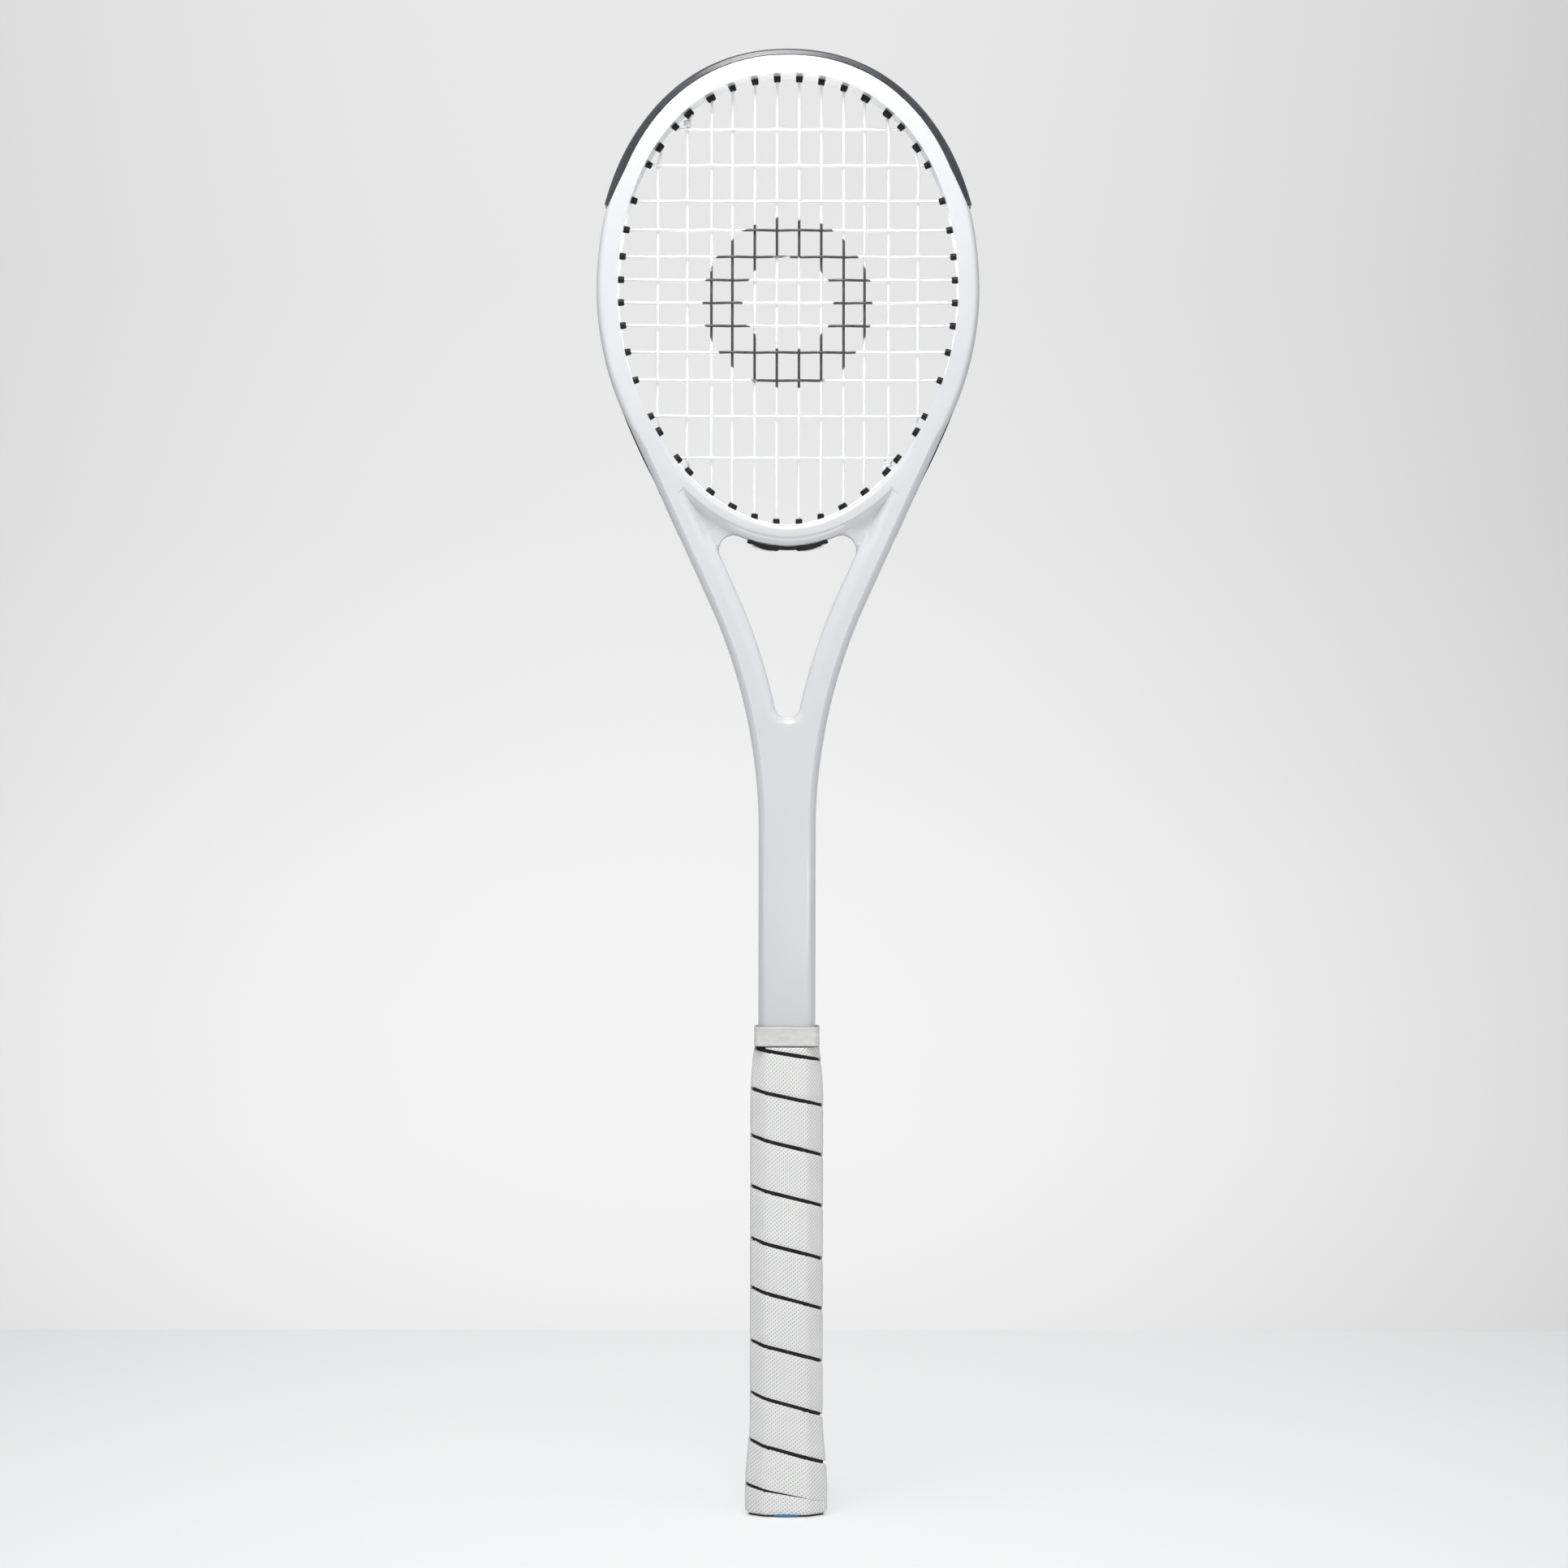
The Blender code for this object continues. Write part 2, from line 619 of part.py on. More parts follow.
def edge_at(run, inset):
    """The point at a run along the outer edge, moved inward by the inset."""
    x = np.interp(run, EDGE_ALONG, EDGE_DENSE[:, 0])
    z = np.interp(run, EDGE_ALONG, EDGE_DENSE[:, 1])
    nx = np.interp(run, EDGE_ALONG, EDGE_NORMAL[:, 0])
    nz = np.interp(run, EDGE_ALONG, EDGE_NORMAL[:, 1])
    return np.array([x - nx * inset, z - nz * inset])


def with_y(flat, y):
    """A point of the plane at a depth."""
    return (float(flat[0]), float(y), float(flat[1]))


STRING_INSET = GROOVE_DEPTH - GAP - STRIP_FLOOR - GAP - STRING_RADIUS
THROAT_TRACK = HOOP_WIDTH + GAP + STRIP_FLOOR + GAP + STRING_RADIUS
BEND = BARREL_REACH + 0.0009


def wall_place(target, axis, upper, right):
    """Wall point and normal of the hole whose string leaves it at the target x or z."""
    angles = np.linspace(-math.pi / 2, math.pi / 2, 6000)
    points, normal = oval(angles)
    bend = points - normal * BEND
    half = points[:, 1] > OVAL_WIDEST if upper else points[:, 1] <= OVAL_WIDEST
    if axis == 0:
        off = np.where(half, np.abs(bend[:, 0] - abs(target)), 1.0)
    else:
        off = np.abs(bend[:, 1] - target)
    index = np.argmin(off)
    flip = np.array([1.0 if right else -1.0, 1.0])
    return points[index] * flip, normal[index] * flip


def make_hole(name, number, side, wall, normal, y, tie=0.0):
    """All that strings, barrels and cutters need of one string hole."""
    tangent = np.array([-normal[1], normal[0]])
    wall = wall + tangent * tie
    hole = {"name": name, "number": number, "side": side, "wall": wall, "normal": normal, "y": y}
    throat = name == "bottom" and number in (5, 6, 7, 8)
    hole["throat"] = throat
    hole["group"] = "tie" if tie else ("cross" if name == "cross" else "main")
    hole["strip"] = True
    hole["bend"] = wall - normal * BEND
    if throat:
        reach = THROAT_TRACK
        hole["run"] = float(wall[0])
        hole["turn"] = [wall + normal * (HOOP_WIDTH + GAP + STRIP_FLOOR)]
        hole["cut"] = [with_y(wall - normal * 0.001, y), with_y(wall + normal * (HOOP_WIDTH + 0.001), y)]
        hole["barrel"] = [
            with_y(wall - normal * BARREL_REACH, y),
            with_y(wall + normal * (HOOP_WIDTH + GAP + STRIP_FLOOR / 2), y),
        ]
        hole["bore"] = [with_y(wall - normal * 0.005, y), with_y(wall + normal * (reach + 0.001), y)]
        return hole
    number_from_edge = number if number <= 6 else 13 - number
    if name == "bottom" and number_from_edge in YOKE_EXITS:
        turn = wall + normal * TUNNEL_TURN
        height = YOKE_EXITS[number_from_edge]
        points, normals = flank((200, 200, 60))
        index = np.argmin(np.abs(points[:, 1] - height))
        flip = np.array([np.sign(wall[0]), 1.0])
        out = points[index] * flip
        way = (out - turn) / np.linalg.norm(out - turn)
        reach, run = on_track(turn, way, STRING_INSET)
        past = turn + way * (reach - 0.0006)
        hole["run"] = run
        hole["strip"] = False
        hole["turn"] = [turn, past]
        cut = (wall - normal * 0.001, turn, turn + way * (reach + 0.001))
        barrel = (wall - normal * BARREL_REACH, wall + normal * (TUNNEL_TURN - 0.001))
        bore = (turn + way * (reach - 0.006), turn + way * (reach + 0.004))
        for key, run in (("cut", cut), ("barrel", barrel), ("bore", bore)):
            hole[key] = [with_y(point, y) for point in run]
        return hole
    reach, run = on_track(wall, normal, STRING_INSET)
    floor = on_track(wall, normal, GROOVE_DEPTH - GAP - STRIP_FLOOR / 2)[0]
    hole["run"] = run
    hole["turn"] = [wall + normal * (reach - 0.0006)]
    hole["cut"] = [with_y(wall - normal * 0.001, y), with_y(wall + normal * (reach + 0.0004), y)]
    hole["barrel"] = [with_y(wall - normal * BARREL_REACH, y), with_y(wall + normal * floor, y)]
    hole["bore"] = [with_y(wall - normal * 0.005, y), with_y(wall + normal * (reach + 0.004), y)]
    return hole


def main_x(number):
    """Place of a main string across the head, 1 at the left to 12 at the right."""
    if number <= 6:
        return -MAIN_OFFSETS[6 - number] * MAIN_SCALE
    return MAIN_OFFSETS[number - 7] * MAIN_SCALE


def cross_z(number):
    """Height of a cross string, 1 at the top to 12 at the bottom."""
    return OVAL_TOP - CROSS_TOP_GAP - sum(CROSS_GAPS[: number - 1]) * CROSS_SCALE


def string_holes():
    """Every string hole: tops and bottoms of the mains, ends of the crosses, and the four tie-off holes."""
    holes = []
    for number in range(1, 13):
        x = main_x(number)
        for name, upper in (("top", True), ("bottom", False)):
            wall, normal = wall_place(x, 0, upper, x > 0)
            holes.append(make_hole(name, number, np.sign(x), wall, normal, LAYER))
    for number in range(1, 13):
        for side in (-1, 1):
            wall, normal = wall_place(cross_z(number), 1, True, side > 0)
            holes.append(make_hole("cross", number, side, wall, normal, -LAYER))
    for number, upper in ((2, True), (11, True), (2, False), (11, False)):
        x = main_x(number)
        wall, normal = wall_place(x, 0, upper, x > 0)
        name = "tie_top" if upper else "tie_bottom"
        away = TIE_STEP * np.sign(x) * (-1 if upper else 1)
        tie = make_hole(name, number, np.sign(x), wall, normal, -LAYER, -away)
        holes.append(tie)
    return holes


HOLES = string_holes()


def hole_of(name, number, side=None):
    """The string hole with this name and number."""
    for hole in HOLES:
        if hole["name"] == name and hole["number"] == number and side in (None, hole["side"]):
            return hole
    raise KeyError((name, number, side))


def through(hole, outward):
    """The string's points through one hole, from the head to the groove or back."""
    if hole["throat"]:
        ends = [hole["wall"] + hole["normal"] * (THROAT_TRACK - 0.0006)]
    else:
        ends = []
    chain = [hole["bend"], hole["wall"], *(hole["turn"] if not hole["throat"] else ends)]
    points = [with_y(p, hole["y"]) for p in chain]
    return points if outward else points[::-1]


def loop_between(first, second):
    """The string's points outside the frame from one hole to the next."""
    low, high = first["run"], second["run"]
    way = 1 if high > low else -1
    start, end = low + way * 0.0009, high - way * 0.0009
    count = max(2, int(abs(end - start) / 0.007) + 1)
    points = []
    for share in np.linspace(0, 1, count):
        run = start + (end - start) * share
        y = first["y"] + (second["y"] - first["y"]) * share
        if first["throat"]:
            angles = np.linspace(-math.pi, 0, 3000)
            track, _ = oval(angles, THROAT_TRACK)
            place = track[np.argmin(np.abs(track[:, 0] - run * 1.17))]
        else:
            place = edge_at(run, STRING_INSET)
        points.append(with_y(place, y))
    return points


def weave_sign(main, cross):
    """Which string lies in front where a main crosses a cross."""
    return 1 if (main + cross) % 2 else -1


def main_points(number, downward):
    """A main string's crossings, from the top when downward."""
    x = main_x(number)
    top, bottom = hole_of("top", number)["bend"][1], hole_of("bottom", number)["bend"][1]
    points = []
    for cross in range(1, 13):
        z = cross_z(cross)
        if bottom + 0.002 < z < top - 0.002:
            points.append((x, WEAVE * weave_sign(number, cross), z))
    return points if downward else points[::-1]


def cross_points(number, rightward):
    """A cross string's crossings, from the left when rightward."""
    z = cross_z(number)
    left = hole_of("cross", number, -1)["bend"][0]
    right = hole_of("cross", number, 1)["bend"][0]
    points = []
    for main in range(1, 13):
        x = main_x(main)
        if left + 0.002 < x < right - 0.002:
            points.append((x, -WEAVE * weave_sign(main, number), z))
    return points if rightward else points[::-1]


def knot(tie, main, upper):
    """The string's end inside the head, turned round its neighbour in a small knot."""
    x = main_x(main)
    way = -1 if upper else 1
    start = tie["bend"]
    base = start[1] + way * KNOT_STAND_OFF
    first = math.atan2(-LAYER, start[0] - x)
    angles = first + np.linspace(0, 2 * math.pi * KNOT_TURNS, 13)
    rise = np.linspace(0, KNOT_PITCH * KNOT_TURNS, 13)
    middle = LAYER * 0.55
    return [
        (x + KNOT_RADIUS * math.cos(a), middle + KNOT_RADIUS * math.sin(a), base + way * r)
        for a, r in zip(angles, rise)
    ]


def string_path():
    """The whole string as one run: knot, mains from left to right, crosses from top to bottom, knot."""
    start = hole_of("tie_top", 2)
    path = knot(start, 2, True)[::-1]
    path += through(start, True) + loop_between(start, hole_of("top", 1))
    path += through(hole_of("top", 1), False)
    down = True
    for number in range(1, 13):
        path += main_points(number, down)
        leave = hole_of("bottom" if down else "top", number)
        path += through(leave, True)
        if number < 12:
            enter = hole_of("bottom" if down else "top", number + 1)
            path += loop_between(leave, enter) + through(enter, False)
            down = not down
    here = hole_of("top", 12)
    rightward = False
    for number in range(1, 13):
        side = -1 if rightward else 1
        enter = hole_of("cross", number, side)
        path += loop_between(here, enter) + through(enter, False)
        path += cross_points(number, rightward)
        here = hole_of("cross", number, -side)
        path += through(here, True)
        rightward = not rightward
    end = hole_of("tie_bottom", 11)
    path += loop_between(here, end) + through(end, False)
    path += knot(end, 11, False)
    return path


def channel(height, winged):
    """Section of a strip at a height, as (inward, depth) pairs down its front, then its back."""
    floor_out = GROOVE_DEPTH - GAP - STRIP_FLOOR
    floor_in = GROOVE_DEPTH - GAP
    outer_half = GROOVE_HALF - GROOVE_DRAFT - GAP
    inner_half = outer_half - STRIP_WALL
    if winged:
        crown = CROWN_SKIN * np.clip((height - OVAL_WIDEST) / (OVAL_TOP - OVAL_WIDEST), 0, 1) ** 4
        skin = GUARD_SKIN + GAP + float(crown)
        half = [(floor_in, outer_half), (-GAP, outer_half), *guard_wing(height, skin)]
        half += [(-skin, inner_half), (floor_out, inner_half)]
    else:
        half = [(floor_in, outer_half), (-STRIP_PROUD, outer_half), (-STRIP_PROUD, inner_half)]
        half += [(floor_out, inner_half)]
    return half + [(e, -y) for e, y in half[::-1]]


def guard_wing(height, skin):
    """The guard's flap over the front of the hoop: its under side outward in, then its outer side back."""
    under, over = [], []
    band = float(guard_band(height))
    thickness = GUARD_SKIN * (0.5 + 0.5 * float(guard_share(height)))
    for share, limit in ((0.0, 0.0), (0.3, 0.0008), (0.65, HOOP_ROUND), (1.0, band)):
        e = min(limit, band * share) if share < 1 else band
        top = float(rounded(e, HOOP_ROUND, WALL_HALF, HALF_DEPTH))
        edge = 1 - min(1.0, e / 0.0008)
        under.append((e - GAP * edge, top - thickness))
        over.append((e - skin * edge, top))
    return under + over[::-1]


def strip_body(start, end, count, winged):
    """A strip carried along the outer edge between two runs."""
    rings = []
    for run in np.linspace(start, end, count):
        base = edge_at(run, 0.0)
        inward = edge_at(run, 1.0) - base
        section = channel(base[1], winged)
        rings.append([(base[0] + inward[0] * e, y, base[1] + inward[1] * e) for e, y in section])
    return loft(rings)


def run_at_height(height, right):
    """The run along the outer edge at a height, on the right or left side."""
    side = EDGE_DENSE[:, 0] > 0 if right else EDGE_DENSE[:, 0] < 0
    off = np.where(side, np.abs(EDGE_DENSE[:, 1] - height), 1.0)
    return EDGE_ALONG[np.argmin(off)]


def with_barrels(made, holes):
    """Add each hole's barrel to a strip and bore it for the string."""
    name = made.name
    for group in ("main", "cross", "tie"):
        barrels = [tube(h["barrel"], BARREL_RADIUS) for h in holes if h["strip"] and h["group"] == group]
        if barrels:
            combine(made, hidden(f"{name}_{group}_barrels", barrels), "UNION")
    combine(made, hidden(name + "_bores", [tube(h["bore"], BORE_RADIUS) for h in holes]), "DIFFERENCE")


def guard():
    """The bumper guard over the crown, with the barrels of the holes that it covers."""
    start, end = run_at_height(GUARD_TIP_Z, True), run_at_height(GUARD_TIP_Z, False)
    points, faces = strip_body(start, end, 37, True)
    made = solid("bumper_guard", points, faces, "guard")
    with_barrels(made, [h for h in HOLES if not h["throat"] and start < h["run"] < end])


def side_strips():
    """The two side strips below the guard, with their barrels, and the yoke corners' own grommets."""
    for name, right in (("left", False), ("right", True)):
        low, high = run_at_height(STRIP_END_Z, right), run_at_height(GUARD_TIP_Z, right)
        high += GAP * 1.5 * (-1 if right else 1)
        points, faces = strip_body(low, high, 26, False)
        made = solid("side_grommet_strip_" + name, points, faces, "grommet")
        low, high = min(low, high), max(low, high)
        mine = [h for h in HOLES if not h["throat"] and low < h["run"] < high]
        with_barrels(made, mine)
        corners = [h for h in mine if not h["strip"]]
        for index, hole in enumerate(sorted(corners, key=lambda h: h["number"] * (1 if right else -1))):
            corner_grommet(f"corner_grommet_{name}_{index + 1}", hole)


def corner_grommet(name, hole):
    """A short bushing that lines one yoke corner hole."""
    points, faces = ring_tube(hole["barrel"], BORE_RADIUS, BARREL_RADIUS)
    solid(name, points, faces, "grommet")


def ring_tube(path, inner, outer):
    """A straight pipe along two points."""
    outside, _ = tube(path, outer)
    within, _ = tube(path, inner)
    count = SIDES
    rings = [outside[:count], outside[count:], within[count:], within[:count]]
    return loft(rings, closed=True)


def throat_strip():
    """The strip under the bridge: a channel with two bulges over its string loops, and four barrels."""
    angles = np.linspace(-math.pi, 0, 4000)
    under, normal = oval(angles, HOOP_WIDTH)
    rings = []
    outer_half = GROOVE_HALF - GAP
    inner_half = outer_half - STRIP_WALL
    for x in np.linspace(-THROAT_STRIP_HALF, THROAT_STRIP_HALF, 21):
        index = np.argmin(np.abs(under[:, 0] - x))
        near = (abs(x) - BULGE_PLACE * 1.17) / BULGE_HALF
        rise = THROAT_RIM + BULGE_RISE * max(0.0, 1 - near**2) ** 0.5 if abs(near) < 1 else THROAT_RIM
        place, way = under[index], normal[index]
        half = [(GAP, outer_half), (GAP + rise, outer_half)]
        half += [(GAP + rise, inner_half), (GAP + STRIP_FLOOR, inner_half)]
        section = half + [(d, -y) for d, y in half[::-1]]
        rings.append([(place[0] + way[0] * d, y, place[1] + way[1] * d) for d, y in section])
    points, faces = loft(rings)
    made = solid("throat_grommet_strip", points, faces, "grommet")
    with_barrels(made, [h for h in HOLES if h["throat"]])


def grip_size(z):
    """Outer half width and half depth of the taped grip at a height."""
    top = np.clip((z - (HANDLE_TOP - GRIP_TOP_TAPER)) / GRIP_TOP_TAPER, 0, 1)
    low = np.clip((BUTT_FLARE_LENGTH + FLARE_TOP - z) / BUTT_FLARE_LENGTH, 0, 1)
    swell = BUTT_FLARE * (3 * low**2 - 2 * low**3) - GRIP_TOP_NARROWING * top**1.5
    return GRIP_HALF_WIDTH + swell, GRIP_HALF_DEPTH + swell


def octagon(half_width, half_depth, corner=0.0012):
    """Eight-sided ring in the plane, its corners cut once to soften them."""
    across = half_width * FACET_SHARE
    deep = half_depth - (half_width - across) * 0.95
    key = [(half_width, deep), (across, half_depth)]
    key = key + [(-x, y) for x, y in key[::-1]]
    key = np.array(key + [(-x, -y) for x, y in key])
    before, after = np.roll(key, 1, axis=0), np.roll(key, -1, axis=0)
    to_before = (before - key) / np.linalg.norm(before - key, axis=1)[:, None]
    to_after = (after - key) / np.linalg.norm(after - key, axis=1)[:, None]
    pairs = np.stack([key + to_before * corner, key + to_after * corner], axis=1)
    return pairs.reshape(-1, 2)


def handle_ring(z, inset):
    """The grip's ring at a height, drawn in by the inset."""
    width, depth = grip_size(z)
    flat = octagon(width - inset, depth - inset)
    return np.column_stack([flat[:, 0], flat[:, 1], np.full(len(flat), z)])


def sleeve(name, heights, outer, inner, finish):
    """A closed sleeve round the handle between two insets."""
    rings = [handle_ring(z, outer) for z in heights]
    rings += [handle_ring(z, inner) for z in heights[::-1]]
    points, faces = loft(rings, closed=True)
    return solid(name, points, faces, finish)


def handle_pallets():
    """Front and back halves of the octagonal handle, hollowed for the shaft's core."""
    low, high = CAP_FLOOR + GAP, HANDLE_TOP
    heights = [low, CAP_HEIGHT + GAP, CAP_HEIGHT + GAP, CAP_HEIGHT + PALLET_STRAIGHT]
    heights += [HANDLE_TOP - GRIP_TOP_TAPER, HANDLE_TOP - GRIP_TOP_TAPER / 2.3, high]
    insets = [PALLET_SKIN + CAP_WALL + GAP] * 2 + [PALLET_SKIN] * 5
    rings = []
    for index, (z, inset) in enumerate(zip(heights, insets)):
        ring = handle_ring(CAP_HEIGHT if index < 2 else z, inset)
        ring[:, 2] = z
        rings.append(ring)
    outer = loft(rings)
    core_x, core_y = CORE_HALF_WIDTH + GAP, CORE_HALF_DEPTH + GAP
    for name, way in (("front", -1), ("back", 1)):
        made = solid("handle_pallet_" + name, *outer, "pallet")
        cut = [block((-core_x, core_x), (-core_y, core_y), (CORE_BOTTOM - GAP, high + 0.01))]
        combine(made, hidden("core_cutter_" + name, cut), "DIFFERENCE")
        far = sorted((-way * 0.05, way * GAP / 2))
        halves = [block((-0.05, 0.05), far, (-0.01, high + 0.02))]
        combine(made, hidden("half_cutter_" + name, halves), "DIFFERENCE")
        legs = [staple_slot(way)]
        combine(made, hidden("staple_cutter_pallet_" + name, legs), "DIFFERENCE")


def block(xs, ys, zs):
    """A closed box between the given limits."""
    flat = ((xs[0], ys[0]), (xs[1], ys[0]), (xs[1], ys[1]), (xs[0], ys[1]))
    return loft([[(x, y, z) for x, y in flat] for z in zs])


def cap_face(way):
    """Depth of the butt cap's flat at the staple, on the front or back."""
    return way * (grip_size(STAPLE_Z)[1] - PALLET_SKIN)


def staple_slot(way):
    """The slot that takes a staple's crown and legs, with its clearance."""
    face = cap_face(way)
    half = STAPLE_WIDTH / 2 + GAP
    deep = face - way * (STAPLE_LEG + GAP)
    heights = (STAPLE_Z - STAPLE_WIRE, STAPLE_Z + STAPLE_WIRE)
    return block((-half, half), sorted((face + way * 0.003, deep)), heights)


def staples():
    """The two staples that fix the butt cap, each a flat U of wire."""
    for name, way in (("front", -1), ("back", 1)):
        face = cap_face(way) - way * 0.0001
        half, wire = STAPLE_WIDTH / 2, STAPLE_WIRE
        tip = face - way * STAPLE_LEG
        back = face - way * wire
        shape = [(-half, face), (half, face), (half, tip), (half - wire, tip)]
        shape += [(half - wire, back), (wire - half, back), (wire - half, tip), (-half, tip)]
        rings = [[(x, y, z) for x, y in shape] for z in (STAPLE_Z - wire / 2, STAPLE_Z + wire / 2)]
        points, faces = loft(rings)
        solid("butt_cap_staple_" + name, points, faces, "steel")


def butt_cap():
    """The flared cap: a skirt under the tape, a floor, and a bare rounded lip at the very end."""
    outer = []
    for z, inset in ((0.0, 0.0030), (0.0012, 0.0012), (0.003, 0.0004), (TAPE_BOTTOM - GAP, 0.0002)):
        outer.append((z, inset))
    for z in (TAPE_BOTTOM - GAP, 0.012, 0.020, 0.028, CAP_HEIGHT):
        outer.append((z, PALLET_SKIN))
    rings = [handle_ring(z, inset) for z, inset in outer]
    for z in (CAP_HEIGHT, CAP_FLOOR):
        ring = handle_ring(CAP_HEIGHT, PALLET_SKIN + CAP_WALL)
        ring[:, 2] = z
        rings.append(ring)
    points, faces = loft(rings)
    made = solid("butt_cap", points, faces, "cap")
    wide, deep = DOOR_HALF_WIDTH + GAP, DOOR_HALF_DEPTH + GAP
    recess = block((-wide, wide), (-deep, deep), (-0.01, DOOR_THICKNESS + GAP))
    combine(made, hidden("door_recess_cutter", [recess]), "DIFFERENCE")
    combine(made, hidden("staple_cutter_cap", [staple_slot(-1), staple_slot(1)]), "DIFFERENCE")


def butt_cap_door():
    """The panel that closes the end of the butt cap."""
    z = (0.0, DOOR_THICKNESS)
    points, faces = block((-DOOR_HALF_WIDTH, DOOR_HALF_WIDTH), (-DOOR_HALF_DEPTH, DOOR_HALF_DEPTH), z)
    made = solid("butt_cap_door", points, faces, "door")
    bevel = made.modifiers.new("corners", "BEVEL")
    bevel.width = 0.0005
    bevel.segments = 1


def grip_layers():
    """The black backing as a sleeve, and over it the tape as one unbroken spiral ribbon."""
    heights = [TAPE_BOTTOM, 0.012, 0.020, 0.028, CAP_HEIGHT, BUTT_FLARE_LENGTH + FLARE_TOP]
    heights += [HANDLE_TOP - GRIP_TOP_TAPER, HANDLE_TOP - GRIP_TOP_TAPER / 2.3, HANDLE_TOP]
    sleeve("grip_backing", heights, TAPE + GAP, TAPE + GAP + BACKING, "felt")
    points, faces = spiral_ribbon()
    solid("grip_tape", points, faces, "tape")


def spiral_ribbon():
    """The tape's ribbon, which falls to the right across the front; its ends are cut square to the handle."""
    sides = 16
    low, high = TAPE_BOTTOM + 0.0002, HANDLE_TOP - 0.0002
    first = TAPE_PHASE + TAPE_PITCH * math.ceil((HANDLE_TOP + TAPE_PITCH - TAPE_PHASE) / TAPE_PITCH)
    rings, bounds = [], []
    for step in range(int((first - low) / TAPE_PITCH * sides) + 1):
        line = first - TAPE_PITCH * step / sides
        top = min(line - TAPE_LINE / 2, high)
        bottom = max(line - TAPE_PITCH + TAPE_LINE / 2, low)
        if top - bottom < TAPE_LEAST_END:
            continue
        levels = np.linspace(top, bottom, 3)
        corner = (sides // 2 + step) % sides
        ring = [handle_ring(z, 0.0)[corner] for z in levels]
        rings.append(ring + [handle_ring(z, TAPE)[corner] for z in levels[::-1]])
        bounds.append((top, bottom))
    gaps = [bounds[i][1] - bounds[i + sides][0] for i in range(len(bounds) - sides)]
    print("grip_tape least gap to itself, mm:", round(min(gaps) * 1000, 2))
    return loft(rings)


def shaft_ring(z, out, slim=0.0):
    """Ring round the shaft at a height, grown outward and slimmed towards the handle's core."""
    half = SHAFT_HALF_WIDTH + (CORE_HALF_WIDTH - SHAFT_HALF_WIDTH) * slim + out
    deep = HALF_DEPTH + (CORE_HALF_DEPTH - HALF_DEPTH) * slim + out
    cut = HOOP_ROUND + 0.0001
    shape = [(half, deep - cut), (half - cut * 0.3, deep - cut * 0.4), (half - cut, deep)]
    shape = shape + [(-x, y) for x, y in shape[::-1]]
    shape = shape + [(-x, -y) for x, y in shape]
    return [(x, y, z) for x, y in shape]


def finishing_tape():
    """The thin tape wound over the step from handle to shaft, hidden by the collar."""
    low = HANDLE_TOP + GAP
    heights = [(low, 1.0), (HANDLE_TOP + CORE_START, 1.0), (HANDLE_TOP + CORE_STEP, 0.0)]
    heights.append((low + FINISHING_HEIGHT, 0.0))
    rings = [shaft_ring(z, GAP, slim) for z, slim in heights]
    rings += [shaft_ring(z, GAP + FINISHING_TAPE, slim) for z, slim in heights[::-1]]
    points, faces = loft(rings, closed=True)
    solid("finishing_tape", points, faces, "finishing")


def grip_collar():
    """The rubber collar round the shaft above the grip, its upper edge rounded."""
    low = HANDLE_TOP + GAP
    high = low + COLLAR_HEIGHT
    wall = GAP + FINISHING_TAPE + GAP
    profile = [(low, 0.0), (high, 0.0), (high, 0.4), (high - 0.0006, 0.85), (high - 0.0015, 1.0)]
    profile += [(low + 0.0005, 1.0), (low, 0.7)]
    points, faces = loft([shaft_ring(z, wall + COLLAR_WALL * share) for z, share in profile], closed=True)
    solid("grip_collar", points, faces, "rubber")


def strings():
    """The string bed as one woven tube."""
    points, faces = tube(string_path(), STRING_RADIUS, 5)
    solid("racket_string", points, faces, "string")


def main():
    """Build every piece of the racket."""
    clear_scene()
    frame()
    guard()
    side_strips()
    throat_strip()
    strings()
    handle_pallets()
    butt_cap()
    butt_cap_door()
    staples()
    grip_layers()
    finishing_tape()
    grip_collar()


main()
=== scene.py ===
"""Looks of the tennis training racket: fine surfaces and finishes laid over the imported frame.

Sizes are in metres. X runs across the string bed, Y from the front face to the back and Z up from the butt.
"""

import logging
import math
from dataclasses import dataclass, field
from enum import Enum

import bpy
import numpy as np
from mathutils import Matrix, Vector
from mathutils.geometry import delaunay_2d_cdt


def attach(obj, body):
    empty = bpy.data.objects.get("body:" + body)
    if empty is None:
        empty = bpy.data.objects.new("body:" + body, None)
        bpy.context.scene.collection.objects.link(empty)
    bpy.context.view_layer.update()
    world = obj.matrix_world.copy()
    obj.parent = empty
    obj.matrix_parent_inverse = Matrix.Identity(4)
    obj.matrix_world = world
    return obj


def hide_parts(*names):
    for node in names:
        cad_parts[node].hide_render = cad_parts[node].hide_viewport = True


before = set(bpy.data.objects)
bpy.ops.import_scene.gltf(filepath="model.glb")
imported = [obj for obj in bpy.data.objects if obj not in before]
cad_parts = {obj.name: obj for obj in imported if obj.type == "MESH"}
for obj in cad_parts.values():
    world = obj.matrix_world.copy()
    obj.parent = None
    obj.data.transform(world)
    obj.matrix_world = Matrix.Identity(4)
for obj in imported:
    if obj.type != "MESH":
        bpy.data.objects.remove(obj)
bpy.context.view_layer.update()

LOG = logging.getLogger("racket")

Rows = np.ndarray
Place = tuple[float, float, float]
Pair = tuple[float, float]
Colour = tuple[float, float, float]
Counts = tuple[int, int, int]
Run = tuple[Rows, bool]
Wave = tuple[float, float, float]
Socket = bpy.types.NodeSocket
Object = bpy.types.Object
Material = bpy.types.Material

MIRROR = np.array([-1.0, 1.0])
TURN = 2 * math.pi
TINY = 1e-5


class Body(Enum):
    """The record's bodies, which the pieces ride on."""

    RACKET = "racket"
    COLLAR = "grip_collar"


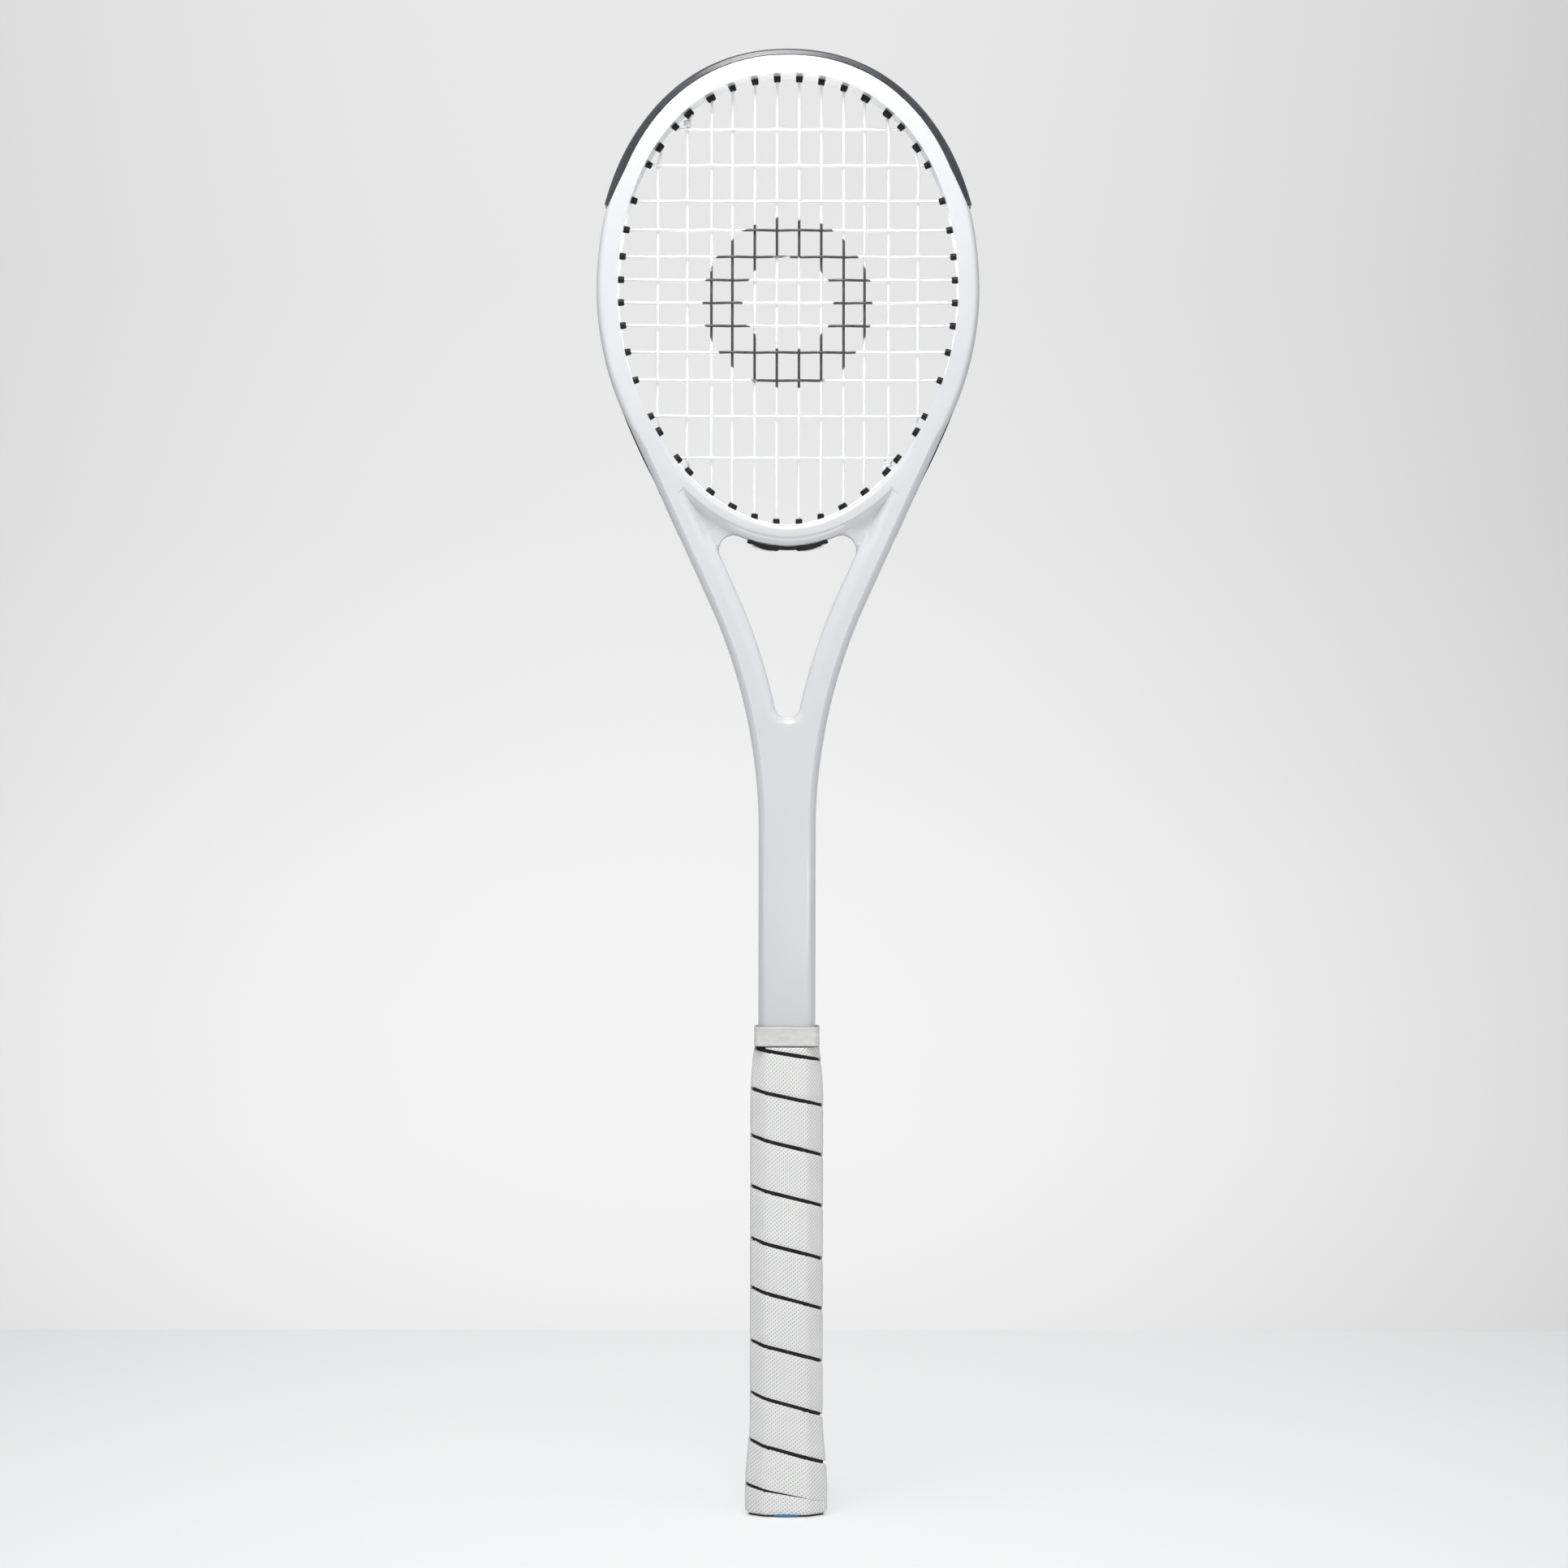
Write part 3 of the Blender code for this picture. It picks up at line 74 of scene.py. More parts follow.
class End(Enum):
    """The string ends that a hole can serve."""

    TOP = "top"
    BOTTOM = "bottom"
    CROSS = "cross"
    TIE_TOP = "tie_top"
    TIE_BOTTOM = "tie_bottom"


# Meshes


def rays(turn: Rows) -> Rows:
    """Unit directions in a plane at angles: cosine across and sine along."""
    return np.stack([np.cos(turn), np.sin(turn)], axis=-1)


def level(flat: Rows, z: float) -> Rows:
    """A ring of X-Y points set at a height."""
    return np.column_stack([flat, np.full(len(flat), z)])


def upright(flat: Rows, y: Rows) -> Rows:
    """Points of the X-Z plane set at depths."""
    return np.column_stack([flat[:, 0], y, flat[:, 1]])


def both_halves(quarter: Rows) -> Rows:
    """A closed ring from its first quarter, mirrored left and then turned half round."""
    upper = np.vstack([quarter, quarter[::-1] * MIRROR])
    return np.vstack([upper, -upper])


def steps_of(path: Rows) -> Rows:
    """Distances between neighbouring points."""
    return np.linalg.norm(np.diff(path, axis=0), axis=1)


def travelled(path: Rows) -> Rows:
    """Distance along a path at each of its points."""
    return np.concatenate([[0], np.cumsum(steps_of(path))])


def closest(points: Rows, place: Rows) -> int:
    """Index of the point nearest to a place."""
    return int(np.argmin(np.linalg.norm(points - place, axis=1)))


def grid_faces(rows: int, columns: int, wrap_rows: bool, wrap_columns: bool) -> Rows:
    """Quads over a grid of points, row by row.

    Args:
        rows: how many rows the grid has.
        columns: how many points a row has.
        wrap_rows: whether the last row joins the first.
        wrap_columns: whether each row closes on itself.

    Returns:
        One row of four indices for each quad.
    """
    i = np.arange(rows if wrap_rows else rows - 1)[:, None]
    j = np.arange(columns if wrap_columns else columns - 1)[None, :]
    up, on = (i + 1) % rows, (j + 1) % columns
    quads = np.stack([i * columns + j, i * columns + on, up * columns + on, up * columns + j], axis=-1)
    return quads.reshape(-1, 4)


@dataclass
class Surface:
    """Points, faces and optional map coordinates of one closed or open surface."""

    points: Rows
    faces: list[tuple[int, ...]]
    uv: Rows | None = None


def merged(*surfaces: Surface) -> Surface:
    """Several surfaces as one, without map coordinates.

    Args:
        surfaces: the surfaces to put together.

    Returns:
        One surface with all their points and faces.
    """
    shifts = np.cumsum([0] + [len(each.points) for each in surfaces]).tolist()
    faces = [tuple(shift + i for i in face) for shift, each in zip(shifts, surfaces) for face in each.faces]
    return Surface(np.vstack([each.points for each in surfaces]), faces)


def carried(rings: Rows, closed: bool = False, uv: Rows | None = None) -> Surface:
    """A profile carried along a path: a grid whose rows are the profile's rings.

    Args:
        rings: stations x profile points x 3.
        closed: whether the path closes on itself; an open one gets flat end caps.
        uv: stations x profile points x 2, or nothing.

    Returns:
        The surface through every ring.
    """
    stations, count = rings.shape[:2]
    faces = [tuple(map(int, quad)) for quad in grid_faces(stations, count, closed, True)]
    if not closed:
        faces.append(tuple(range(count - 1, -1, -1)))
        faces.append(tuple(range((stations - 1) * count, stations * count)))
    return Surface(rings.reshape(-1, 3), faces, None if uv is None else uv.reshape(-1, 2))


def piece(name: str, surface: Surface, sharp: float = 40.0) -> Object:
    """An object from a surface, shaded smooth with sharp edges past an angle in degrees.

    Args:
        name: the object's name.
        surface: its mesh.
        sharp: angle in degrees past which an edge is sharp.

    Returns:
        The linked object.
    """
    mesh = bpy.data.meshes.new(name)
    mesh.from_pydata(surface.points.tolist(), [], surface.faces)
    if surface.uv is not None:
        layer = mesh.uv_layers.new(name="UVMap")
        loops = np.zeros(len(mesh.loops), dtype=np.int32)
        mesh.loops.foreach_get("vertex_index", loops)
        layer.data.foreach_set("uv", surface.uv[loops].astype(np.float32).ravel())
    mesh.update()
    made = bpy.data.objects.new(name, mesh)
    bpy.context.scene.collection.objects.link(made)
    outward(made)
    mesh.shade_smooth()
    mesh.set_sharp_from_angle(angle=math.radians(sharp))
    return made


def outward(item: Object) -> None:
    """Turns every face of a closed mesh to point out.

    Args:
        item: the object whose mesh is turned.
    """
    bpy.context.view_layer.objects.active = item
    item.select_set(True)
    bpy.ops.object.mode_set(mode="EDIT")
    bpy.ops.mesh.select_all(action="SELECT")
    bpy.ops.mesh.normals_make_consistent(inside=False)
    bpy.ops.object.mode_set(mode="OBJECT")
    item.select_set(False)


def smooth_path(points: Rows, step: float) -> Rows:
    """A Catmull-Rom curve through points, sampled about once a step.

    Args:
        points: the path's fixed points.
        step: the wanted distance between samples.

    Returns:
        The denser path.
    """
    padded = np.vstack([2 * points[0] - points[1], points, 2 * points[-1] - points[-2]])
    pieces = np.maximum(1, np.round(steps_of(points) / step).astype(int))
    index = np.repeat(np.arange(len(pieces)), pieces)
    t = (np.arange(len(index)) - np.repeat(np.cumsum(pieces) - pieces, pieces)) / np.repeat(pieces, pieces)
    knots = np.concatenate([[0], np.cumsum(np.sqrt(steps_of(padded)))])
    p0, p1, p2, p3 = (padded[index + k] for k in range(4))
    t0, t1, t2, t3 = (knots[index + k][:, None] for k in range(4))
    at = t1 + (t2 - t1) * t[:, None]
    a1 = (t1 - at) / (t1 - t0) * p0 + (at - t0) / (t1 - t0) * p1
    a2 = (t2 - at) / (t2 - t1) * p1 + (at - t1) / (t2 - t1) * p2
    a3 = (t3 - at) / (t3 - t2) * p2 + (at - t2) / (t3 - t2) * p3
    b1 = (t2 - at) / (t2 - t0) * a1 + (at - t0) / (t2 - t0) * a2
    b2 = (t3 - at) / (t3 - t1) * a2 + (at - t1) / (t3 - t1) * a3
    curve = (t2 - at) / (t2 - t1) * b1 + (at - t1) / (t2 - t1) * b2
    return np.vstack([curve, points[-1:]])


def tube(path: Rows, radius: float, sides: int) -> Surface:
    """A round profile carried along a path with the least twist; its map runs along in metres.

    Args:
        path: the centre line's points.
        radius: the profile's radius.
        sides: how many points the profile has.

    Returns:
        The closed tube with map coordinates.
    """
    ways = np.gradient(path, axis=0)
    ways /= np.linalg.norm(ways, axis=1)[:, None]
    sides_at = np.zeros_like(path)
    side = np.cross(ways[0], (0.0, 1.0, 0.0))
    for i, way in enumerate(ways):
        side = side - way * side.dot(way)
        side = side / np.linalg.norm(side)
        sides_at[i] = side
    ups = np.cross(ways, sides_at)
    turn = np.arange(sides) * TURN / sides
    ring = np.cos(turn)[None, :, None] * sides_at[:, None] + np.sin(turn)[None, :, None] * ups[:, None]
    uv = np.stack(np.broadcast_arrays(travelled(path)[:, None], turn[None, :] / TURN), axis=-1)
    return carried(path[:, None] + radius * ring, uv=uv)


def turned(start: Rows, end: Rows, profile: Rows, sides: int = 24) -> Surface:
    """A closed profile of (share along, radius) pairs turned about the line from start to end.

    Args:
        start: where the axis starts.
        end: where it points to.
        profile: pairs of distance along the axis and radius.
        sides: how many points a ring has.

    Returns:
        The turned surface.
    """
    axis = (end - start) / np.linalg.norm(end - start)
    side = np.cross(axis, (0.0, 1.0, 0.0))
    side /= np.linalg.norm(side)
    up = np.cross(axis, side)
    turn = rays(np.arange(sides) * TURN / sides)
    ring = turn[:, :1] * side + turn[:, 1:] * up
    rings = start + profile[:, None, :1] * axis + profile[:, None, 1:] * ring[None]
    return carried(rings, closed=True)


# Plan of the moulding


@dataclass
class Plan:
    """The racket's outline in the X-Z plane and the depth of its moulding."""

    length: float = 0.6858
    gap: float = 0.0003
    half_width: float = 0.0796
    rise: float = 0.1027
    drop: float = 0.1081
    upper_power: float = 2.17
    lower_power: float = 1.87
    hoop: float = 0.0099
    arm: float = 0.0137
    half_depth: float = 0.011
    wall: float = 0.007
    hoop_round: float = 0.003
    arm_round: float = 0.0045
    ridge_power: float = 1.35
    valley_slope: float = 0.0055
    crease_in: float = 0.0067
    crease_width: float = 0.0006
    crease_depth: float = 0.00045
    crease_top: float = 0.49
    crease_fade: float = 0.012
    valley_reach: float = 0.008
    valley_fade: float = 0.02
    valley_round: float = 0.001
    web: float = 0.006
    shaft: float = 0.0133
    flare_start: float = 0.3194
    flare_radius: float = 0.258
    flare_angle: float = math.radians(24.47)
    shoulder_radius: float = 0.1384
    throat_bottom: float = 0.3726
    corner_radius: float = 0.007
    core_half_width: float = 0.0105
    core_half_depth: float = 0.008
    core_bottom: float = 0.008
    core_start: float = 0.001
    core_step: float = 0.008
    handle_top: float = 0.219
    guard_tip: float = 0.6126
    guard_skin: float = 0.001
    crown_skin: float = 0.0006
    guard_width: float = 0.0046
    guard_growth: float = 0.018
    guard_growth_power: float = 0.7
    guard_side_share: float = 0.80
    guard_crown_loss: float = 0.58
    guard_least: float = 0.0004
    strip_end: float = 0.4585
    groove_half: float = 0.004
    groove_depth: float = 0.003
    throat_step: float = 0.0015
    throat_arc_points: int = 16
    dense: int = 1600
    edge_counts: Counts = (90, 60, 60)
    edge_hoop_count: int = 300
    halvings: int = 60
    oval_top: float = field(init=False)
    widest: float = field(init=False)
    bottom: float = field(init=False)
    oval_dense: Rows = field(init=False)
    edge_dense: Rows = field(init=False)
    edge_normal: Rows = field(init=False)
    edge_along: Rows = field(init=False)
    side_dense: Rows = field(init=False)
    floor_z: float = field(init=False)
    floor_radius: float = field(init=False)
    throat: Rows = field(init=False)
    throat_loop: Rows = field(init=False)

    def __post_init__(self) -> None:
        """Works out the dense reference curves."""
        self.oval_top = self.length - self.hoop - self.guard_skin - self.crown_skin - self.gap
        self.widest = self.oval_top - self.rise
        self.bottom = self.widest - self.drop
        self.oval_dense = self.oval(np.linspace(0, TURN, self.dense))[0]
        self.edge_dense, self.edge_normal = self.whole_outline(self.edge_counts, self.edge_hoop_count)
        self.edge_along = travelled(self.edge_dense)
        core = self.core_outline()
        self.side_dense = np.vstack([core, self.edge_dense, core[::-1] * MIRROR])
        self.floor_z, self.floor_radius = self.throat_floor()
        self.throat = self.throat_edge()
        self.throat_loop = np.vstack([self.throat, self.throat[:1]])

    def oval(self, angle: Rows, offset: float = 0.0) -> tuple[Rows, Rows]:
        """Points and outward normals of the head's opening.

        A superellipse: half_width times a power of the cosine across, and rise or drop times a power of the
        sine along, moved outward by the offset.

        Args:
            angle: where on the oval, anticlockwise from the right.
            offset: distance outward.

        Returns:
            The points and their normals.
        """
        angle = np.atleast_1d(angle)
        c, s = np.cos(angle), np.sin(angle)
        power = np.where(s > 0, self.upper_power, self.lower_power)
        height = np.where(s > 0, self.rise, self.drop)
        across = np.sign(c) * np.abs(c) ** (2 / power)
        along = np.sign(s) * np.abs(s) ** (2 / power)
        nx = np.sign(c) * np.abs(across) ** (power - 1) / self.half_width
        nz = np.sign(s) * np.abs(along) ** (power - 1) / height
        normal = np.stack([nx, nz], axis=1)
        normal /= np.linalg.norm(normal, axis=1)[:, None]
        points = np.stack([self.half_width * across, self.widest + height * along], axis=1)
        return points + normal * offset, normal

    def flank(self, counts: Counts) -> tuple[Rows, Rows]:
        """Right outer edge from shaft to shoulder: flare arc, tangent straight, shoulder arc.

        Args:
            counts: how many points each of the three parts has.

        Returns:
            The points and their outward normals.
        """
        normal = rays(np.linspace(0, self.flare_angle, counts[0])) * -MIRROR
        centre = np.array([self.shaft + self.flare_radius, self.flare_start])
        points = centre - normal * self.flare_radius
        widest = self.half_width + self.hoop
        shoulder_x = widest - self.shoulder_radius * (1 - math.cos(self.flare_angle))
        end = points[-1]
        shoulder_z = end[1] + (shoulder_x - end[0]) / math.tan(self.flare_angle)
        share = np.linspace(0, 1, counts[1] + 2)[1:-1, None]
        line = end + share * (np.array([shoulder_x, shoulder_z]) - end)
        top_normal = rays(np.linspace(-self.flare_angle, 0, counts[2]))
        high = shoulder_z + self.shoulder_radius * math.sin(self.flare_angle)
        top = np.array([widest - self.shoulder_radius, high]) + top_normal * self.shoulder_radius
        middle = np.repeat(normal[-1:], counts[1], axis=0)
        return np.vstack([points, line, top]), np.vstack([normal, middle, top_normal])

    def outline(self, counts: Counts, hoop_count: int) -> tuple[Rows, Rows]:
        """Right outer edge from the shaft to the crown: the flank until it meets the hoop's own offset.

        Args:
            counts: how many points the flank's three parts have.
            hoop_count: how many points the hoop's part has.

        Returns:
            The points and their outward normals.
        """
        points, normal = self.flank(counts)
        half = self.oval(np.linspace(-math.pi / 2, math.pi / 2, self.dense))[0]
        outside = self.distance(points, half) >= self.hoop
        last = np.nonzero(outside & (points[:, 1] < self.widest))[0][-1] + 1
        points, normal = points[:last], normal[:last]
        for height in (self.strip_end - 2 * self.gap, self.strip_end - self.gap):
            index = np.searchsorted(points[:, 1], height)
            low, high = points[index - 1], points[index]
            share = (height - low[1]) / (high[1] - low[1])
            points = np.insert(points, index, low + (high - low) * share, axis=0)
            normal = np.insert(normal, index, normal[index], axis=0)
        hoop, hoop_normal = self.oval(np.linspace(-math.pi / 2, math.pi / 2, 4 * self.dense), self.hoop)
        first = closest(hoop, points[-1])
        picks = set(np.linspace(first, len(hoop) - 1, hoop_count + 1).astype(int)[1:].tolist())
        for height in (self.guard_tip - 2 * self.gap, self.guard_tip - self.gap):
            picks.add(int(np.argmin(np.abs(hoop[:, 1] - height))))
        chosen = sorted(picks)
        return np.vstack([points, hoop[chosen]]), np.vstack([normal, hoop_normal[chosen]])

    def whole_outline(self, counts: Counts, hoop_count: int) -> tuple[Rows, Rows]:
        """Outer edge from the right of the shaft over the crown to its left.

        Args:
            counts: how many points the flank's three parts have.
            hoop_count: how many points the hoop's part has on each side.

        Returns:
            The points and their outward normals.
        """
        right = self.outline(counts, hoop_count)
        points, normal = (np.vstack([side, (side[::-1] * MIRROR)[1:]]) for side in right)
        return points, normal

    @staticmethod
    def nearest(points: Rows, curve: Rows) -> tuple[Rows, Rows]:
        """Shortest distance from each point to a dense curve, and the curve's height there.

        Args:
            points: the places asked about.
            curve: the dense curve.

        Returns:
            The distances, and the heights of the nearest places on the curve.
        """
        start, step = curve[:-1], np.diff(curve, axis=0)
        length = (step**2).sum(axis=1)
        reach, height = [], []
        for block in np.array_split(np.asarray(points, float), max(1, len(points) // 2000)):
            share = np.clip(((block[:, None] - start) * step).sum(axis=2) / length, 0, 1)
            feet = start + share[..., None] * step
            far = np.linalg.norm(block[:, None] - feet, axis=2)
            index = far.argmin(axis=1)
            rows = np.arange(len(block))
            reach.append(far[rows, index])
            height.append(feet[rows, index, 1])
        return np.concatenate(reach), np.concatenate(height)

    def distance(self, points: Rows, curve: Rows) -> Rows:
        """Shortest distance from each point to a dense curve."""
        return self.nearest(np.asarray(points, float), np.asarray(curve, float))[0]

    def core_outline(self) -> Rows:
        """Lower end of the shaft's right edge, slimmed where the handle wraps it.

        Returns:
            Four points, from the bottom up.
        """
        half, step = self.core_half_width, self.handle_top + self.core_start
        run = [(half, self.core_bottom), (half, self.handle_top / 2), (half, step)]
        return np.array(run + [(self.shaft, self.handle_top + self.core_step)])

    def throat_floor(self) -> tuple[float, float]:
        """Centre height and radius of the round at the throat's foot, which touches both arms.

        Returns:
            The height and the radius.
        """
        low, high = self.throat_bottom, self.bottom
        for _ in range(self.halvings):
            centre = (low + high) / 2
            radius = centre - self.throat_bottom
            if self.distance([(0.0, centre)], self.edge_dense)[0] - self.arm > radius:
                low = centre
            else:
                high = centre
        return centre, radius

    def throat_corner(self) -> tuple[Rows, Rows]:
        """Centre of the right upper corner, which touches the arm and the underside of the bridge.

        Returns:
            The centre, and the arm's outward normal beside it.
        """
        points, normal = self.flank((200, 200, 20))
        run = points - normal * (self.arm + self.corner_radius)
        off = self.distance(run, self.oval_dense) - self.hoop - self.corner_radius
        index = np.nonzero((off < 0) & (run[:, 1] > self.floor_z))[0][0]
        return run[index], normal[index]

    def arc(self, centre: Rows, radius: float, start: float, end: Rows) -> Rows:
        """Points on a circle from an angle to the direction of another place."""
        return rays(np.linspace(start, math.atan2(end[1], end[0]), self.throat_arc_points)) * radius + centre

    def thinned(self, run: Rows, first: int, last: int, least: int) -> Rows:
        """Points about a throat step apart from one index of a dense run to another, without the first."""
        count = max(least, int(np.linalg.norm(run[last] - run[first]) / self.throat_step))
        return run[np.linspace(first, last, count).astype(int)][1:]

    def throat_edge(self) -> Rows:
        """Edge of the throat opening, anticlockwise from the middle of its floor.

        It joins the floor's arc, the arm's inner side, the upper corner's arc and the bridge's underside, and
        then the same mirrored.

        Returns:
            The closed edge, without its first point again.
        """
        corner, arm_normal = self.throat_corner()
        points, normal = self.flank((400, 400, 40))
        foot = np.array([0.0, self.floor_z])
        side = points - normal * self.arm
        reach = np.linalg.norm(side - foot, axis=1)
        lowest = self.floor_z - self.floor_radius * math.sin(self.flare_angle)
        highest = (corner + arm_normal * self.corner_radius)[1]
        keep = (side[:, 1] > lowest) & (side[:, 0] > 0)
        keep &= (reach > self.floor_radius + TINY) & (side[:, 1] < highest)
        side = side[keep]
        inner = self.thinned(side, 0, len(side) - 1, 3)
        floor = self.arc(foot, self.floor_radius, -math.pi / 2, side[0] - foot)
        near = self.oval_dense[closest(self.oval_dense, corner)] - corner
        turn = math.atan2(arm_normal[1], arm_normal[0])
        bend = self.arc(corner, self.corner_radius, turn, near / np.linalg.norm(near))
        under = self.oval(np.linspace(-math.pi / 2, 0, 6000), self.hoop)[0]
        bridge = self.thinned(under, closest(under, bend[-1]), 0, 6)
        right = np.vstack([floor, inner, bend, bridge])
        return np.vstack([right, right[1:-1][::-1] * MIRROR])

    @staticmethod
    def rounded(inset: Rows, width: float, low: float, high: float, power: float = 2.0) -> Rows:
        """Depth over a rounded edge, a quarter superellipse.

        It rises from low at the edge to high at the width. A power of two gives a round edge and a lower
        power a facet with a ridge.

        Args:
            inset: distance from the edge.
            width: how far the edge's form reaches.
            low: depth at the edge.
            high: depth past the width.
            power: how full the form is.

        Returns:
            The depth at each inset.
        """
        share = np.clip(inset / width, 0, 1)
        return low + (high - low) * (1 - (1 - share) ** power) ** (1 / power)

    @staticmethod
    def sloped(inset: Rows, width: float, low: float, high: float) -> Rows:
        """Depth over a soft flank: level at both ends and steepest half way."""
        share = np.clip(inset / width, 0, 1)
        return low + (high - low) * share * share * (3 - 2 * share)

    def guard_share(self, z: Rows) -> Rows:
        """How far the guard has grown from its tips, from 0 to 1."""
        return np.clip((z - self.guard_tip) / self.guard_growth, 0, 1) ** self.guard_growth_power

    def guard_band(self, z: Rows) -> Rows:
        """Width of the guard's band on the face, widest at the sides and slimmer over the crown.

        Args:
            z: heights along the outer edge.

        Returns:
            The width at each.
        """
        crown = np.clip((z - self.widest) / (self.oval_top + self.hoop - self.widest), 0, 1)
        slim = self.guard_side_share - self.guard_crown_loss * crown
        return np.maximum(self.guard_width * self.guard_share(z) * slim, self.guard_least)

    def depth(self, points: Rows) -> Rows:
        """Half depth of the moulding over the plane.

        The highest of three forms, each rounded at its edges: the hoop by its distance to the oval, the arm
        by its distance to the outer edge and to the throat, and the thin web between them. Away from the
        throat both slope down softly to the web, and a fine crease follows the hoop there. Under the guard
        the face is let in, and inside the handle it shrinks to the core.

        Args:
            points: places in the X-Z plane.

        Returns:
            The half depth at each.
        """
        z = points[:, 1]
        hoop_in = self.distance(points, self.oval_dense)
        edge_in, edge_z = self.nearest(points, self.side_dense)
        low, high = self.wall, self.half_depth
        open_in = self.distance(points, self.throat_loop)
        away = np.clip(open_in / self.valley_reach, 0, 1)
        away = away * np.clip((self.crease_top - z) / self.valley_fade, 0, 1)
        under = self.rounded(self.hoop - hoop_in, self.hoop_round, low, high)
        soft_under = self.sloped(self.hoop - hoop_in, self.hoop_round + self.valley_round, self.web, high)
        under = under + away * (soft_under - under)
        hoop = np.minimum(self.rounded(hoop_in, self.hoop_round, low, high), under)
        crease = self.crease_depth * np.exp(-(((hoop_in - self.crease_in) / self.crease_width) ** 2))
        hoop = hoop - crease * np.clip((self.crease_top - z) / self.crease_fade, 0, 1)
        hoop = np.where(hoop_in > self.hoop + TINY, self.web, hoop)
        inner = np.where(z < self.floor_z, open_in, self.arm - edge_in)
        flank = self.rounded(inner, self.arm_round, low, high)
        soft = np.where(z < self.floor_z, 0.0, away)
        flank = flank + soft * (self.sloped(inner, self.valley_slope, self.web, high) - flank)
        arm = np.minimum(self.rounded(edge_in, self.hoop_round, low, high, self.ridge_power), flank)
        arm = np.where((z >= self.floor_z) & (edge_in > self.arm + TINY), self.web, arm)
        depth = np.maximum(np.maximum(hoop, arm), self.web)
        recessed = edge_z > self.guard_tip - 1.5 * self.gap
        recessed &= edge_in < self.guard_band(edge_z) + 1.5 * self.gap
        depth = np.where(recessed, depth - self.guard_skin - self.gap, depth)
        core = np.clip((self.handle_top + self.core_step - z) / (self.core_step - self.core_start), 0, 1)
        return depth * (1 + core * (self.core_half_depth / self.half_depth - 1))

    def edge_at(self, run: Rows, inset: Rows) -> Rows:
        """Points at runs along the outer edge, moved inward by the inset.

        Args:
            run: distances along the outer edge.
            inset: distance inward.

        Returns:
            The points.
        """
        columns = np.hstack([self.edge_dense, self.edge_normal]).T
        x, z, nx, nz = (np.interp(run, self.edge_along, column) for column in columns)
        return np.stack([x - nx * inset, z - nz * inset], axis=-1)

    def run_at_height(self, height: float, right: bool) -> float:
        """The run along the outer edge at a height, on the right or left side.

        Args:
            height: the height looked for.
            right: whether it is on the right side.

        Returns:
            The distance along the edge.
        """
        side = self.edge_dense[:, 0] > 0 if right else self.edge_dense[:, 0] < 0
        off = np.where(side, np.abs(self.edge_dense[:, 1] - height), 1.0)
        return float(self.edge_along[np.argmin(off)])

    @staticmethod
    def inside(points: Rows, loop: Rows) -> Rows:
        """Which points lie inside a closed loop, by counting crossings.

        Args:
            points: the places asked about.
            loop: the loop's points.

        Returns:
            True for each point inside.
        """
        x, z = points[:, 0, None], points[:, 1, None]
        a, b = loop, np.roll(loop, -1, axis=0)
        rise = np.where(b[:, 1] == a[:, 1], 1, b[:, 1] - a[:, 1])
        spans = (a[:, 1] > z) != (b[:, 1] > z)
        return (spans & (x < a[:, 0] + (z - a[:, 1]) * (b[:, 0] - a[:, 0]) / rise)).sum(axis=1) % 2 == 1


# Finishes


